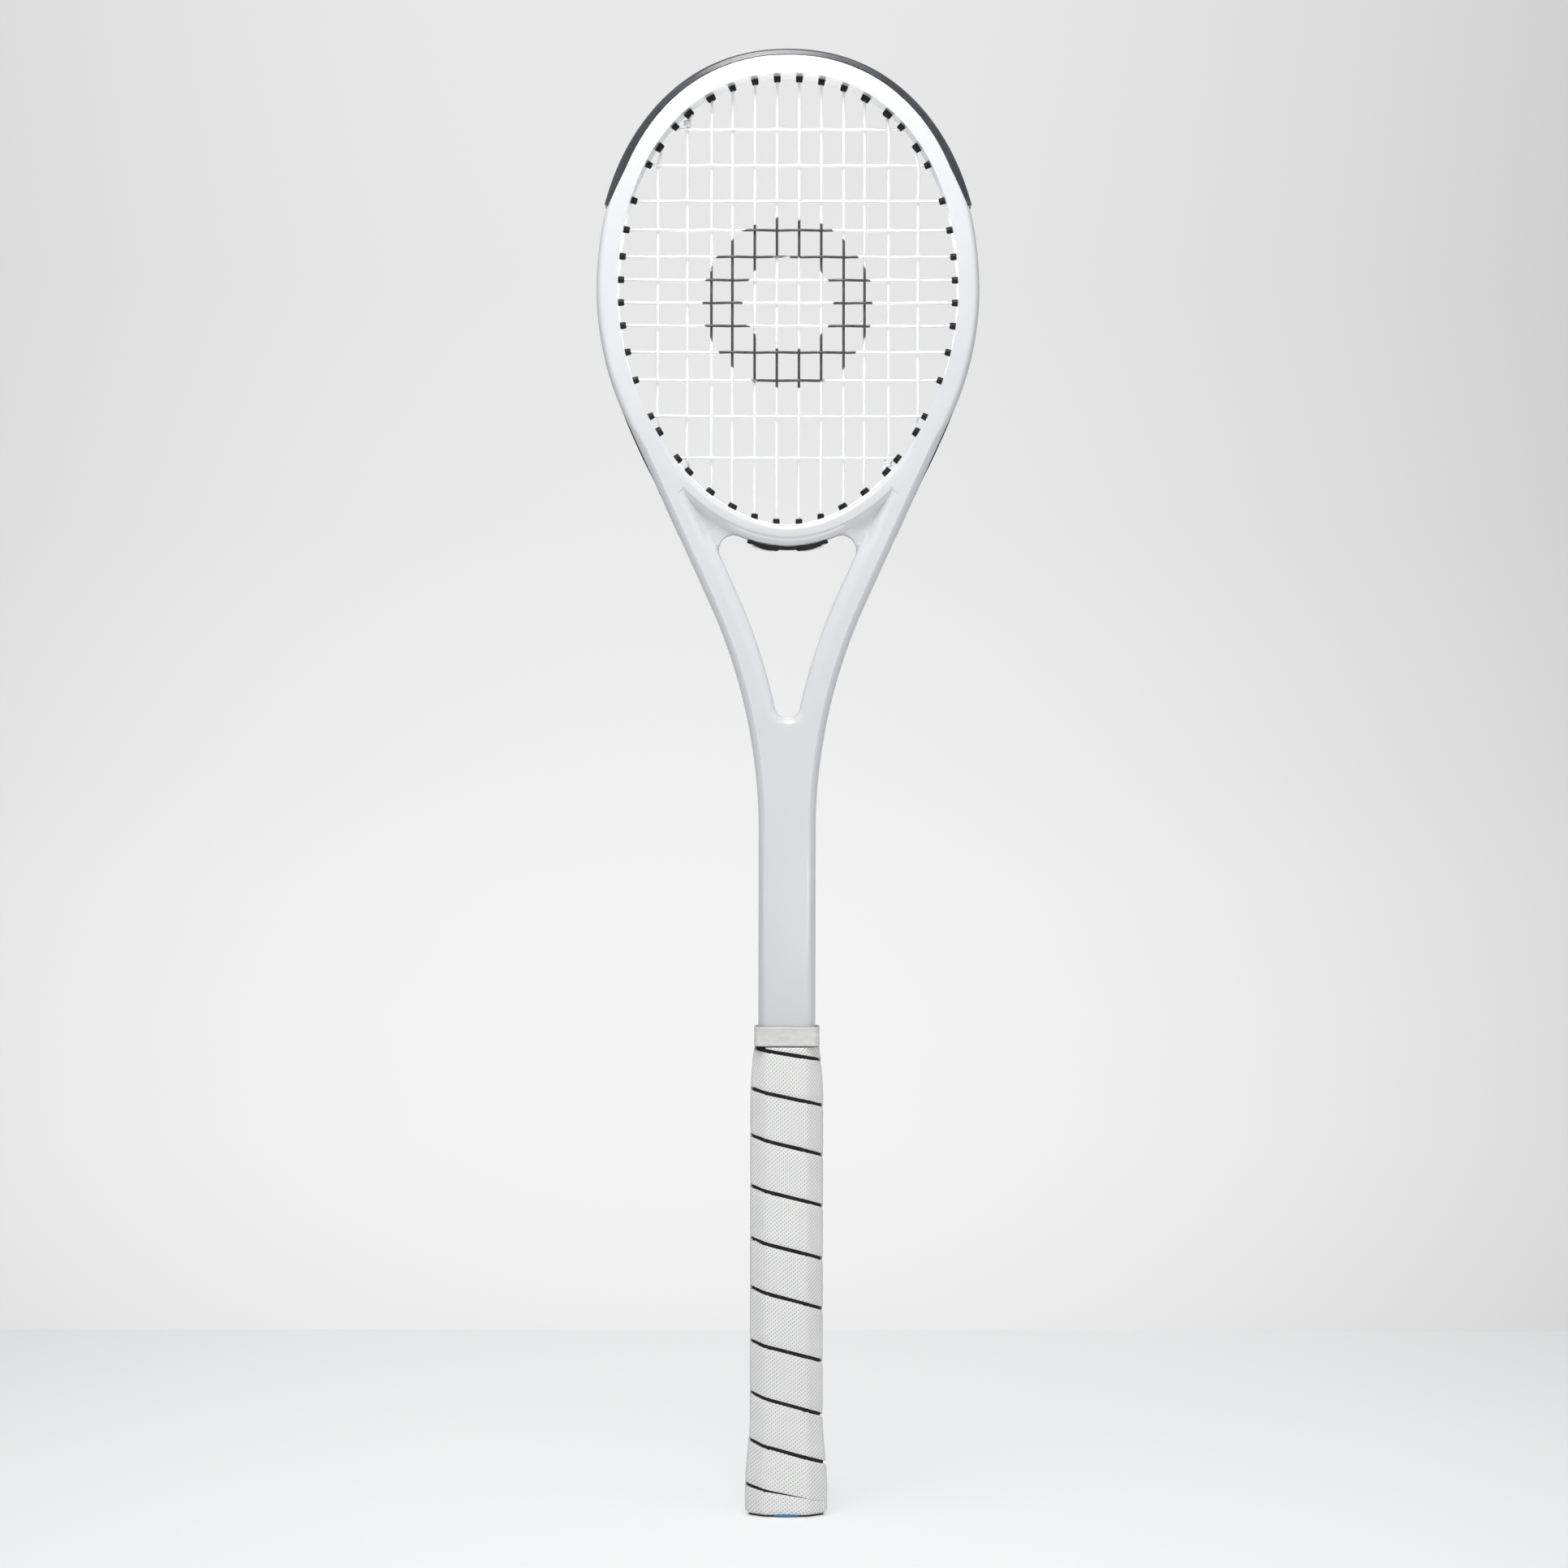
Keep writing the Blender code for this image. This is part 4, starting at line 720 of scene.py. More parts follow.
class Nodes:
    """A node tree, built by small named steps."""

    def __init__(self, tree: bpy.types.NodeTree) -> None:
        """Starts from a tree's own nodes and its texture coordinates."""
        self.tree = tree
        self.coords = tree.nodes.new("ShaderNodeTexCoord")

    def add(self, kind: str, **settings: object) -> bpy.types.Node:
        """A node with its settings.

        Args:
            kind: the node's type.
            settings: attributes to set on it.

        Returns:
            The node.
        """
        node = self.tree.nodes.new(kind)
        for key, value in settings.items():
            setattr(node, key, value)
        return node

    def put(self, target: Socket, value: object) -> None:
        """Links a socket or sets a constant.

        Args:
            target: the input socket.
            value: a socket or a constant.
        """
        if isinstance(value, Socket):
            self.tree.links.new(value, target)
        else:
            target.default_value = value

    def maths(self, operation: str, *values: object) -> Socket:
        """A Math node's result.

        Args:
            operation: the node's operation.
            values: its inputs in order.

        Returns:
            The result's socket.
        """
        node = self.add("ShaderNodeMath", operation=operation)
        for target, value in zip(node.inputs, values):
            self.put(target, value)
        return node.outputs[0]

    def noise(self, scale: float, detail: float, where: Socket | None = None) -> Socket:
        """Noise over the piece's own coordinates.

        Args:
            scale: the noise's scale.
            detail: how many finer layers it has.
            where: coordinates in place of the piece's own.

        Returns:
            A factor round a half.
        """
        node = self.add("ShaderNodeTexNoise")
        self.put(node.inputs["Vector"], where or self.coords.outputs["Object"])
        self.put(node.inputs["Scale"], scale)
        self.put(node.inputs["Detail"], detail)
        return node.outputs["Fac"]

    def scaled(self, scale: Place) -> Socket:
        """The coordinates stretched by a factor on each axis.

        Args:
            scale: the factor on each axis.

        Returns:
            The stretched coordinates.
        """
        node = self.add("ShaderNodeMapping")
        self.put(node.inputs["Vector"], self.coords.outputs["Object"])
        node.inputs["Scale"].default_value = scale
        return node.outputs["Vector"]

    def parts(self, source: str = "Object") -> list[Socket]:
        """The X, Y and Z of the coordinates.

        Args:
            source: which of the texture coordinates.

        Returns:
            The three sockets.
        """
        node = self.add("ShaderNodeSeparateXYZ")
        self.put(node.inputs[0], self.coords.outputs[source])
        return list(node.outputs)

    def seen(self) -> Socket:
        """1 where the camera looks and 0 for all other light."""
        return self.add("ShaderNodeLightPath").outputs["Is Camera Ray"]

    def ramp(self, factor: Socket, stops: Pair, colours: tuple[Colour, Colour]) -> Socket:
        """A colour that changes from one to another between two values of a factor.

        Args:
            factor: what the colour follows.
            stops: the factor's two values.
            colours: the colours there.

        Returns:
            The colour's socket.
        """
        node = self.add("ShaderNodeValToRGB")
        for element, place, colour in zip(node.color_ramp.elements, stops, colours):
            element.position = place
            element.color = (*colour, 1.0)
        self.put(node.inputs[0], factor)
        return node.outputs["Color"]

    def spread(self, factor: Socket, low: float, high: float) -> Socket:
        """A factor from 0 to 1 spread between two values.

        Args:
            factor: a factor from 0 to 1.
            low: the value at 0.
            high: the value at 1.

        Returns:
            The spread value.
        """
        node = self.add("ShaderNodeMapRange")
        self.put(node.inputs["Value"], factor)
        self.put(node.inputs["To Min"], low)
        self.put(node.inputs["To Max"], high)
        return node.outputs["Result"]

    def step(self, value: Socket, start: float, end: float) -> Socket:
        """0 before start, 1 after end and smooth between.

        Args:
            value: what is compared.
            start: where it begins to rise.
            end: where it reaches 1.

        Returns:
            A factor from 0 to 1.
        """
        node = self.add("ShaderNodeMapRange", interpolation_type="SMOOTHSTEP")
        self.put(node.inputs["Value"], value)
        self.put(node.inputs["From Min"], start)
        self.put(node.inputs["From Max"], end)
        return node.outputs["Result"]

    def mixed(self, factor: Socket, first: object, second: object) -> Socket:
        """A colour between two.

        Args:
            factor: the second colour's share.
            first: a colour or socket.
            second: a colour or socket.

        Returns:
            The mixed colour.
        """
        node = self.add("ShaderNodeMix", data_type="RGBA")
        self.put(node.inputs["Factor"], factor)
        for target, value in ((node.inputs[6], first), (node.inputs[7], second)):
            self.put(target, value if isinstance(value, Socket) else (*value, 1.0))
        return node.outputs[2]

    def bump(
        self, height: Socket, distance: float, strength: float = 1.0, after: Socket | None = None
    ) -> Socket:
        """A bump of a height field, in metres.

        Args:
            height: the height field.
            distance: its depth.
            strength: how strongly it acts.
            after: a normal that it adds to.

        Returns:
            The bumped normal.
        """
        node = self.add("ShaderNodeBump")
        self.put(node.inputs["Height"], height)
        self.put(node.inputs["Distance"], distance)
        self.put(node.inputs["Strength"], strength)
        if after is not None:
            self.put(node.inputs["Normal"], after)
        return node.outputs["Normal"]


class Graph(Nodes):
    """A Principled material's node tree."""

    def __init__(self, name: str) -> None:
        """Starts the material.

        Args:
            name: the material's name.
        """
        self.material = bpy.data.materials.new(name)
        self.material.use_nodes = True
        super().__init__(self.material.node_tree)
        self.shader = self.tree.nodes["Principled BSDF"]

    def finish(self, **values: object) -> Material:
        """Sets the shader's sockets by name, with _ for a space.

        Args:
            values: sockets' names and their values.

        Returns:
            The material.
        """
        for key, value in values.items():
            target = self.shader.inputs[key.replace("_", " ")]
            if isinstance(value, tuple) and len(value) == 3:
                value = (*value, 1.0)
            self.put(target, value)
        return self.material


@dataclass(frozen=True)
class PlainFinish:
    """Moulded plastic or metal: a clouded colour, an uneven gloss and a fine grain.

    Each of the three is a noise with its scale and detail. The stops are the noise values at which the colour
    is dark and light.
    """

    name: str
    dark: Colour
    light: Colour
    cloud: Pair = (120.0, 3.0)
    stops: Pair = (0.3, 0.7)
    gloss: Pair = (400.0, 2.0)
    roughness: Pair = (0.3, 0.43)
    grain: Pair = (1800.0, 2.0)
    grain_height: float = 0.00003
    metallic: float = 0.0
    specular: float = 0.5
    coat: float = 0.0
    coat_roughness: float = 0.03

    def material(self) -> Material:
        """The finish as a material.

        Returns:
            The material.
        """
        g = Graph(self.name)
        return g.finish(
            Base_Color=g.ramp(g.noise(*self.cloud), self.stops, (self.dark, self.light)),
            Roughness=g.spread(g.noise(*self.gloss), *self.roughness),
            Normal=g.bump(g.noise(*self.grain), self.grain_height),
            Metallic=self.metallic, Specular_IOR_Level=self.specular,
            Coat_Weight=self.coat, Coat_Roughness=self.coat_roughness,
        )


@dataclass(frozen=True)
class FramePaint(PlainFinish):
    """Gloss white paint with a faint flow and the softest change of shade."""

    name: str = "frame_paint"
    dark: Colour = (0.68, 0.688, 0.702)
    light: Colour = (0.705, 0.713, 0.728)
    cloud: Pair = (14.0, 2.0)
    stops: Pair = (0.35, 0.65)
    gloss: Pair = (60.0, 3.0)
    roughness: Pair = (0.2, 0.3)
    grain: Pair = (420.0, 2.0)
    grain_height: float = 0.00002
    coat: float = 0.35
    coat_roughness: float = 0.12


@dataclass(frozen=True)
class GuardPlastic(PlainFinish):
    """Slate-grey moulded nylon of the bumper guard, finely grained under a soft sheen."""

    name: str = "guard_plastic"
    dark: Colour = (0.028, 0.030, 0.034)
    light: Colour = (0.046, 0.050, 0.058)
    cloud: Pair = (90.0, 4.0)
    gloss: Pair = (300.0, 3.0)
    roughness: Pair = (0.2, 0.3)
    grain: Pair = (2600.0, 2.0)
    coat: float = 0.6
    coat_roughness: float = 0.2


@dataclass(frozen=True)
class GrommetPlastic(PlainFinish):
    """Black moulded nylon of strips and barrels."""

    name: str = "grommet_plastic"
    dark: Colour = (0.006, 0.006, 0.006)
    light: Colour = (0.015, 0.014, 0.014)
    cloud: Pair = (240.0, 3.0)
    gloss: Pair = (500.0, 2.0)
    roughness: Pair = (0.4, 0.56)
    grain: Pair = (3200.0, 2.0)
    grain_height: float = 0.00002
    specular: float = 0.28


@dataclass(frozen=True)
class StringCoat:
    """Smooth white string with a faint spiral wrap and a plain inked ring across the middle of the bed."""

    white: Colour = (0.95, 0.95, 0.95)
    ink: Colour = (0.006, 0.005, 0.005)
    ring_height: float = 0.5675
    ring_outer: float = 0.0400
    ring_inner: float = 0.0215
    ring_soft: float = 0.0005
    ragged: float = 0.004
    ragged_noise: Pair = (260.0, 2.0)
    cover: Pair = (0.9, 1.0)
    cover_noise: Pair = (900.0, 3.0)
    wrap_pace: float = 5200.0
    wrap_height: float = 0.000006
    wrap_strength: float = 0.6

    def material(self) -> Material:
        """The string's material.

        The ring is the band between two distances from its centre, with an edge that noise makes ragged.

        Returns:
            The material.
        """
        g = Graph("string_coat")
        x, _, z = g.parts()
        lift = g.maths("SUBTRACT", z, self.ring_height)
        reach = g.maths("SQRT", g.maths("ADD", g.maths("POWER", x, 2.0), g.maths("POWER", lift, 2.0)))
        uneven = g.maths("SUBTRACT", g.noise(*self.ragged_noise), 0.5)
        worn = g.maths("ADD", reach, g.maths("MULTIPLY", uneven, self.ragged))
        inner, outer = (
            g.step(worn, edge - self.ring_soft, edge + self.ring_soft)
            for edge in (self.ring_inner, self.ring_outer)
        )
        ink = g.maths("MULTIPLY", g.maths("SUBTRACT", 1.0, outer), inner)
        ink = g.maths("MULTIPLY", ink, g.spread(g.noise(*self.cover_noise), *self.cover))
        u, v, _ = g.parts("UV")
        wrap = g.maths("ADD", g.maths("MULTIPLY", u, self.wrap_pace), g.maths("MULTIPLY", v, TURN))
        bump = g.bump(g.maths("SINE", wrap), self.wrap_height, self.wrap_strength)
        return g.finish(
            Base_Color=g.mixed(ink, self.white, self.ink), Roughness=0.28, Normal=bump, Coat_Weight=0.2,
        )


@dataclass(frozen=True)
class GripLeather:
    """Perforated white tape: a lattice of pinholes with a soft grain, the pinholes darkened with painted
    shade.
    """

    white: Colour = (0.86, 0.86, 0.845)
    shade: Colour = (0.815, 0.815, 0.80)
    # painted shade: the grey stands in for the shadow inside each pinhole
    hole: Colour = (0.30, 0.30, 0.29)
    across: float = 0.0018
    along: float = 0.0019
    hole_edge: Pair = (0.48, 0.80)
    hole_fade: Pair = (0.55, 1.0)
    fade_noise: Pair = (55.0, 2.0)
    hole_depth: float = 0.00018
    cloud: Pair = (38.0, 4.0)
    stops: Pair = (0.32, 0.68)
    grain: Pair = (1500.0, 4.0)
    grain_height: float = 0.00005
    grain_strength: float = 0.7
    gloss: Pair = (200.0, 3.0)
    roughness: Pair = (0.42, 0.6)

    def material(self) -> Material:
        """The tape's material.

        The holes lie where the squared cosines of the sum and of the difference of both map directions are
        high together, which gives a staggered lattice.

        Returns:
            The material.
        """
        g = Graph("grip_leather")
        u, v, _ = g.parts("UV")
        columns = g.maths("MULTIPLY", u, math.pi / self.across)
        rows = g.maths("MULTIPLY", v, math.pi / self.along)
        a = g.maths("COSINE", g.maths("ADD", columns, rows))
        b = g.maths("COSINE", g.maths("SUBTRACT", columns, rows))
        both = g.maths("MULTIPLY", g.maths("MULTIPLY", a, a), g.maths("MULTIPLY", b, b))
        fade = g.spread(g.noise(*self.fade_noise), *self.hole_fade)
        dot = g.maths("MULTIPLY", g.step(both, *self.hole_edge), fade)
        cloud = g.ramp(g.noise(*self.cloud), self.stops, (self.shade, self.white))
        pressed = g.bump(dot, -self.hole_depth)
        grain = g.bump(g.noise(*self.grain), self.grain_height, self.grain_strength, pressed)
        rough = g.spread(g.noise(*self.gloss), *self.roughness)
        # the pinholes take the grey hole colour, painted shade inside them, and the bump presses them in
        return g.finish(Base_Color=g.mixed(dot, cloud, self.hole), Roughness=rough, Normal=grain)


@dataclass(frozen=True)
class BackingFelt:
    """Black fibrous backing that shows between the turns, with pale lint."""

    black: Colour = (0.016, 0.014, 0.014)
    lint: Colour = (0.22, 0.21, 0.20)
    lint_noise: Pair = (2300.0, 3.0)
    lint_edge: Pair = (0.62, 0.72)
    lint_share: float = 0.5
    pile: Pair = (2800.0, 3.0)
    pile_height: float = 0.00012

    def material(self) -> Material:
        """The backing's material.

        Returns:
            The material.
        """
        g = Graph("backing_felt")
        lint = g.step(g.noise(*self.lint_noise), *self.lint_edge)
        base = g.mixed(g.maths("MULTIPLY", lint, self.lint_share), self.black, self.lint)
        pile = g.bump(g.noise(*self.pile), self.pile_height)
        return g.finish(Base_Color=base, Roughness=0.92, Normal=pile)


@dataclass(frozen=True)
class CollarRubber:
    """Off-white rubber, slightly mottled, with the sheen of a stretched band."""

    light: Colour = (0.70, 0.70, 0.665)
    dark: Colour = (0.62, 0.615, 0.58)
    stretch: Place = (1.0, 1.0, 2.6)
    cloud: Pair = (170.0, 3.0)
    stops: Pair = (0.3, 0.66)
    gloss: Pair = (260.0, 3.0)
    roughness: Pair = (0.3, 0.46)
    ripple: Pair = (190.0, 2.0)
    ripple_height: float = 0.00018

    def material(self) -> Material:
        """The collar's material.

        Returns:
            The material.
        """
        g = Graph("collar_rubber")
        where = g.scaled(self.stretch)
        base = g.ramp(g.noise(*self.cloud, where), self.stops, (self.dark, self.light))
        rough = g.spread(g.noise(*self.gloss), *self.roughness)
        ripple = g.bump(g.noise(*self.ripple, where), self.ripple_height)
        return g.finish(Base_Color=base, Roughness=rough, Normal=ripple)


def moulded(name: str, colour: Colour, roughness: float = 0.35, metallic: float = 0.0) -> Material:
    """A plain finish in one colour, slightly darker in its clouds, with a gloss that varies a little.

    Args:
        name: the material's name.
        colour: its palest shade.
        roughness: its roughness.
        metallic: 1 for a metal.

    Returns:
        The material.
    """
    dark = tuple(0.9 * value for value in colour)
    uneven = (roughness - 0.05, roughness + 0.08)
    return PlainFinish(name, dark, colour, roughness=uneven, metallic=metallic).material()


def dress(name: str, surface: Surface, material: Material, slot: str, body: Body, *nodes: str,
          sharp: float = 50.0) -> None:
    """Makes a piece, gives it its material, and lets it ride on its body and stand for its nodes.

    Args:
        name: the piece's name.
        surface: its mesh.
        material: its finish.
        slot: not used.
        body: the body that it rides on.
        sharp: angle in degrees past which an edge is sharp.
        nodes: the frame's nodes that it stands for.
    """
    item = piece(name, surface, sharp)
    item.data.materials.append(material)
    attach(item, body.value)
    if nodes:
        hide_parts(*nodes)
    LOG.info("%s: %d points", item.name, len(item.data.vertices))


# Frame


@dataclass
class Moulding:
    """The painted moulding: two relief faces and the walls between them."""

    plan: Plan
    insets: tuple[float, ...] = (0.0, 0.0001, 0.0003, 0.0006, 0.001, 0.0015, 0.0022, 0.003, 0.0042)
    arm_insets: tuple[float, ...] = (0.0, 0.0002, 0.0006, 0.0012, 0.002, 0.003, 0.004, 0.0055, 0.0068)
    under_insets: tuple[float, ...] = (
        0.0, 0.0002, 0.0006, 0.0012, 0.002, 0.0026, 0.0029, 0.0032, 0.0035, 0.0039, 0.0045,
    )
    foot_slope: float = 0.7
    guard_step: float = 0.00022
    clearance: float = 0.0004
    floor_clearance: float = 0.004
    middle_clearance: float = 0.002

    def face_runs(self) -> list[Run]:
        """Lines that the relief's points lie on: the outer edge, the opening, the throat, guard and valleys.

        Returns:
            Pairs of points and whether they close.
        """
        plan = self.plan
        edge, normal = plan.outline((64, 46, 30), 170)
        core = plan.core_outline()
        runs = []
        for inset in self.insets:
            low = core - np.array([inset, 0.0])
            low[0, 1] += self.foot_slope * inset
            right = np.vstack([low, edge - normal * inset])
            runs.append((np.vstack([right, right[::-1] * MIRROR]), True))
        turns = np.linspace(0, TURN, 460, endpoint=False)
        runs += [(plan.oval(turns, inset)[0], True) for inset in self.insets[:-1]]
        return [*runs, (plan.throat, True), *self.guard_runs(), *self.valley_runs()]

    def guard_runs(self) -> list[Run]:
        """Lines on both sides of the step that lets the guard in.

        Returns:
            Two open runs.
        """
        plan = self.plan
        points, normal = plan.oval(np.linspace(0.0, math.pi, 1200), plan.hoop)
        high = points[:, 1] > plan.guard_tip
        band = plan.guard_band(points[:, 1]) + plan.gap
        lines = [points - normal * (band + shift)[:, None] for shift in (0.0, self.guard_step)]
        return [(line[high][::4], False) for line in lines]

    @staticmethod
    def halves(right: Rows, apart: bool) -> list[Run]:
        """A line's right half and its mirror image, as two lines or as one over the middle.

        Args:
            right: the right half's points, from the middle outward.
            apart: whether the halves stay two lines.

        Returns:
            One or two open runs.
        """
        if apart:
            return [(right, False), (right * MIRROR, False)]
        return [(np.vstack([(right[1:] * MIRROR)[::-1], right]), False)]

    def valley_runs(self) -> list[Run]:
        """Lines that round the arms' inner sides and the hoop's underside at the yoke.

        An arm's line keeps off the hoop, runs down to the throat's floor and follows its round. The lines
        on the edges themselves also keep off the corners of the throat.

        Returns:
            Open runs.
        """
        plan = self.plan
        runs = []
        foot = np.array([0.0, plan.floor_z])
        lift = plan.corner_radius * math.sin(plan.flare_angle) + self.clearance
        corner_top = plan.throat_corner()[0][1] + lift
        points, normal = plan.flank((90, 90, 60))
        for inset in self.arm_insets:
            side = points - normal * (plan.arm - inset)
            off = plan.distance(side, plan.oval_dense)
            keep = (side[:, 1] > plan.floor_z + self.floor_clearance) & (side[:, 1] < plan.widest)
            keep &= (off > plan.hoop - plan.hoop_round + 0.5 * inset) & (side[:, 0] > self.middle_clearance)
            if inset == 0.0:
                runs += self.halves(side[keep & (side[:, 1] > corner_top)], True)
                continue
            floor = rays(np.linspace(-math.pi / 2, -0.1, 16)) * (plan.floor_radius + inset) + foot
            runs += self.halves(np.vstack([floor, side[keep]]), False)
        for inset in self.under_insets:
            under = plan.oval(np.linspace(-math.pi / 2, 0, 150), plan.hoop - inset)[0]
            keep = plan.distance(under, plan.side_dense) > plan.arm - plan.arm_round + 0.5 * inset
            if inset == 0.0:
                keep &= plan.distance(under, plan.throat_loop) > self.clearance
            runs += self.halves(under[keep], inset == 0.0)
        return runs

    @staticmethod
    def chain(start: int, count: int, closed: bool) -> Rows:
        """Index pairs that join a run's points in order."""
        index = start + np.arange(count)
        return np.column_stack([index, np.roll(index, -1)])[: count if closed else count - 1]

    def surface(self) -> Surface:
        """Both faces and the walls.

        Each face is depth as a function of the two plane coordinates, on points laid along the outline's own
        offset lines. The walls join front to back at every boundary edge.

        Returns:
            The closed mesh of the moulding.
        """
        plan = self.plan
        runs = self.face_runs()
        starts = np.cumsum([0] + [len(run) for run, _ in runs])
        points = np.vstack([run for run, _ in runs])
        edges = np.vstack([self.chain(at, len(run), closed) for at, (run, closed) in zip(starts, runs)])
        found, _, faces, *_ = delaunay_2d_cdt(points.tolist(), edges.tolist(), [], 0, 1e-6)
        flat = np.array([tuple(v) for v in found])
        faces = np.array([tuple(f) for f in faces])
        centres = flat[faces].mean(axis=1)
        edge, hole = runs[0][0], runs[len(self.insets)][0]
        keep = np.zeros(len(faces), dtype=bool)
        for block in np.array_split(np.arange(len(faces)), 40):
            spot = centres[block]
            keep[block] = plan.inside(spot, edge) & ~plan.inside(spot, hole) & ~plan.inside(spot, plan.throat)
        faces = faces[keep]
        used, faces = np.unique(faces, return_inverse=True)
        faces = faces.reshape(-1, 3)
        flat = flat[used]
        depth = plan.depth(flat)
        count = len(flat)
        front, back = upright(flat, -depth), upright(flat, depth)
        sides = np.vstack([faces[:, (0, 1)], faces[:, (1, 2)], faces[:, (2, 0)]])
        code = sides[:, 0].astype(np.int64) * count + sides[:, 1]
        mirror = sides[:, 1].astype(np.int64) * count + sides[:, 0]
        rim = sides[~np.isin(code, mirror)]
        walls = np.column_stack([rim[:, 0], rim[:, 0] + count, rim[:, 1] + count, rim[:, 1]])
        shapes = [*faces.tolist(), *(faces[:, ::-1] + count).tolist(), *walls.tolist()]
        return Surface(np.vstack([front, back]), shapes)

    def build(self) -> None:
        """Makes and dresses the moulding."""
        paint = FramePaint().material()
        dress("racket_frame", self.surface(), paint, "paint", Body.RACKET, "frame", sharp=32.0)


# String holes, strips and string


@dataclass
class Hole:
    """One string hole: its wall point, direction, layer and what its string does outside."""

    end: End
    number: int
    wall: Rows
    normal: Rows
    y: float
    throat: bool = False
    strip: bool = True
    run: float = 0.0
    reach: float = 0.0
    slant: float = 0.0
    bend: Rows = field(default_factory=lambda: np.zeros(2))
    turn: list[Rows] = field(default_factory=list)

    @property
    def along(self) -> Rows:
        """Direction along the wall, a quarter turn from the normal."""
        return np.array([-self.normal[1], self.normal[0]])

    @property
    def side(self) -> int:
        """1 on the right and -1 on the left."""
        return 1 if self.wall[0] > 0 else -1


def lifted(flat: Rows, y: float) -> Rows:
    """A point of the plane at a depth."""
    return np.array([flat[0], y, flat[1]])


@dataclass
class Stringing:
    """The string pattern: holes, barrels and the woven run of string."""

    plan: Plan
    radius: float = 0.00065
    weave: float = 0.0009
    layer: float = 0.0012
    tie_step: float = 0.0015
    mains: tuple[float, ...] = (0.0052, 0.0156, 0.0261, 0.0359, 0.0472, 0.0610)
    first_cross: float = 0.6488
    cross_gaps: tuple[float, ...] = (
        0.0168, 0.0168, 0.0136, 0.0125, 0.0109, 0.0107, 0.0108, 0.0124, 0.0132, 0.0169, 0.0195,
    )
    end_clearance: float = 0.002
    barrel: float = 0.0017
    barrel_mouth: float = 0.00155
    bore: float = 0.0011
    barrel_reach: float = 0.0026
    lip: float = 0.0002
    lip_length: float = 0.0004
    lean: float = 0.34
    lean_shift: float = 0.42
    lean_least: float = 0.0008
    slant_limit: float = 0.0019
    mouth_clearance: float = 0.0001
    seat: float = 0.0013
    throat_steepness: float = 0.3
    throat_ranks: tuple[int, int] = (5, 6)
    strip_floor: float = 0.001
    tunnel: float = 0.0045
    tunnel_barrel: float = 0.001
    turn_back: float = 0.0006
    ray: Pair = (0.004, 0.045)
    ray_points: int = 420
    loop_inset: float = 0.0009
    loop_step: float = 0.007
    slips: tuple[float, ...] = (0.0010, 0.0010, 0.0, 0.0005, 0.0002, 0.0)
    top_slips: tuple[float, ...] = (0.0012, 0.0010, 0.0, 0.0, 0.0, 0.0)
    cross_slip: float = 0.0008
    knot_radius: float = 0.00135
    knot_pitch: float = 0.00135
    knot_turns: float = 2.25
    knot_points: int = 25
    knot_stand_off: float = 0.0010
    knot_layer_share: float = 0.55
    path_step: float = 0.0012
    path_sides: int = 10
    exits: dict[int, float] = field(default_factory=lambda: {3: 0.4688, 4: 0.4628})
    inset: float = field(init=False)
    throat_track: float = field(init=False)
    count: int = field(init=False)
    holes: list[Hole] = field(init=False)

    def __post_init__(self) -> None:
        """Works out every hole."""
        gap = self.plan.gap
        self.inset = self.plan.groove_depth - gap - self.strip_floor - gap - self.radius
        self.throat_track = self.plan.hoop + gap + self.strip_floor + gap + self.radius
        self.count = 2 * len(self.mains)
        self.holes = self.all_holes()

    def rank(self, number: int) -> int:
        """Place of a main counted from the nearer side, from 1 to 6."""
        return min(number, self.count + 1 - number)

    def main_x(self, number: int) -> float:
        """Place of a main string, 1 at the left to 12 at the right."""
        place = self.mains[len(self.mains) - self.rank(number)]
        return place if number > len(self.mains) else -place

    def cross_z(self, number: int) -> float:
        """Height of a cross string, 1 at the top to 12 at the bottom."""
        return self.first_cross - sum(self.cross_gaps[: number - 1])

    def wall_place(
        self, target: float, across: bool, upper: bool, right: bool, slip: float = 0.0
    ) -> tuple[Rows, Rows]:
        """Wall point and normal of the hole whose barrel's middle is at a target, slipped down the wall.

        Args:
            target: the x or z aimed at.
            across: whether the target is an x.
            upper: whether the hole is in the upper half.
            right: whether it is on the right.
            slip: distance down the wall from there.

        Returns:
            The wall point and its normal.
        """
        points, normal = self.plan.oval(np.linspace(-math.pi / 2, math.pi / 2, 6000))
        bend = points - normal * self.seat
        half = points[:, 1] > self.plan.widest if upper else points[:, 1] <= self.plan.widest
        off = np.where(half, np.abs(bend[:, 0] - abs(target)), 1.0) if across else np.abs(bend[:, 1] - target)
        pace = np.linalg.norm(points[1] - points[0])
        index = max(np.argmin(off) - round(slip / pace), 0)
        flip = MIRROR * (-1 if right else 1, 1)
        return points[index] * flip, normal[index] * flip

    def on_track(self, place: Rows, way: Rows) -> tuple[float, float]:
        """Where a ray from the head meets the string's track inside the outer edge.

        Args:
            place: where the ray starts.
            way: its direction.

        Returns:
            The ray's length and the distance along the outer edge there.
        """
        plan = self.plan
        steps = np.linspace(*self.ray, self.ray_points)
        line = place + steps[:, None] * way
        depth = np.where(plan.inside(line, plan.side_dense), 1, -1) * plan.distance(line, plan.side_dense)
        index = np.nonzero(depth <= self.inset)[0][0]
        return float(steps[index]), float(plan.edge_along[closest(plan.edge_dense, line[index])])

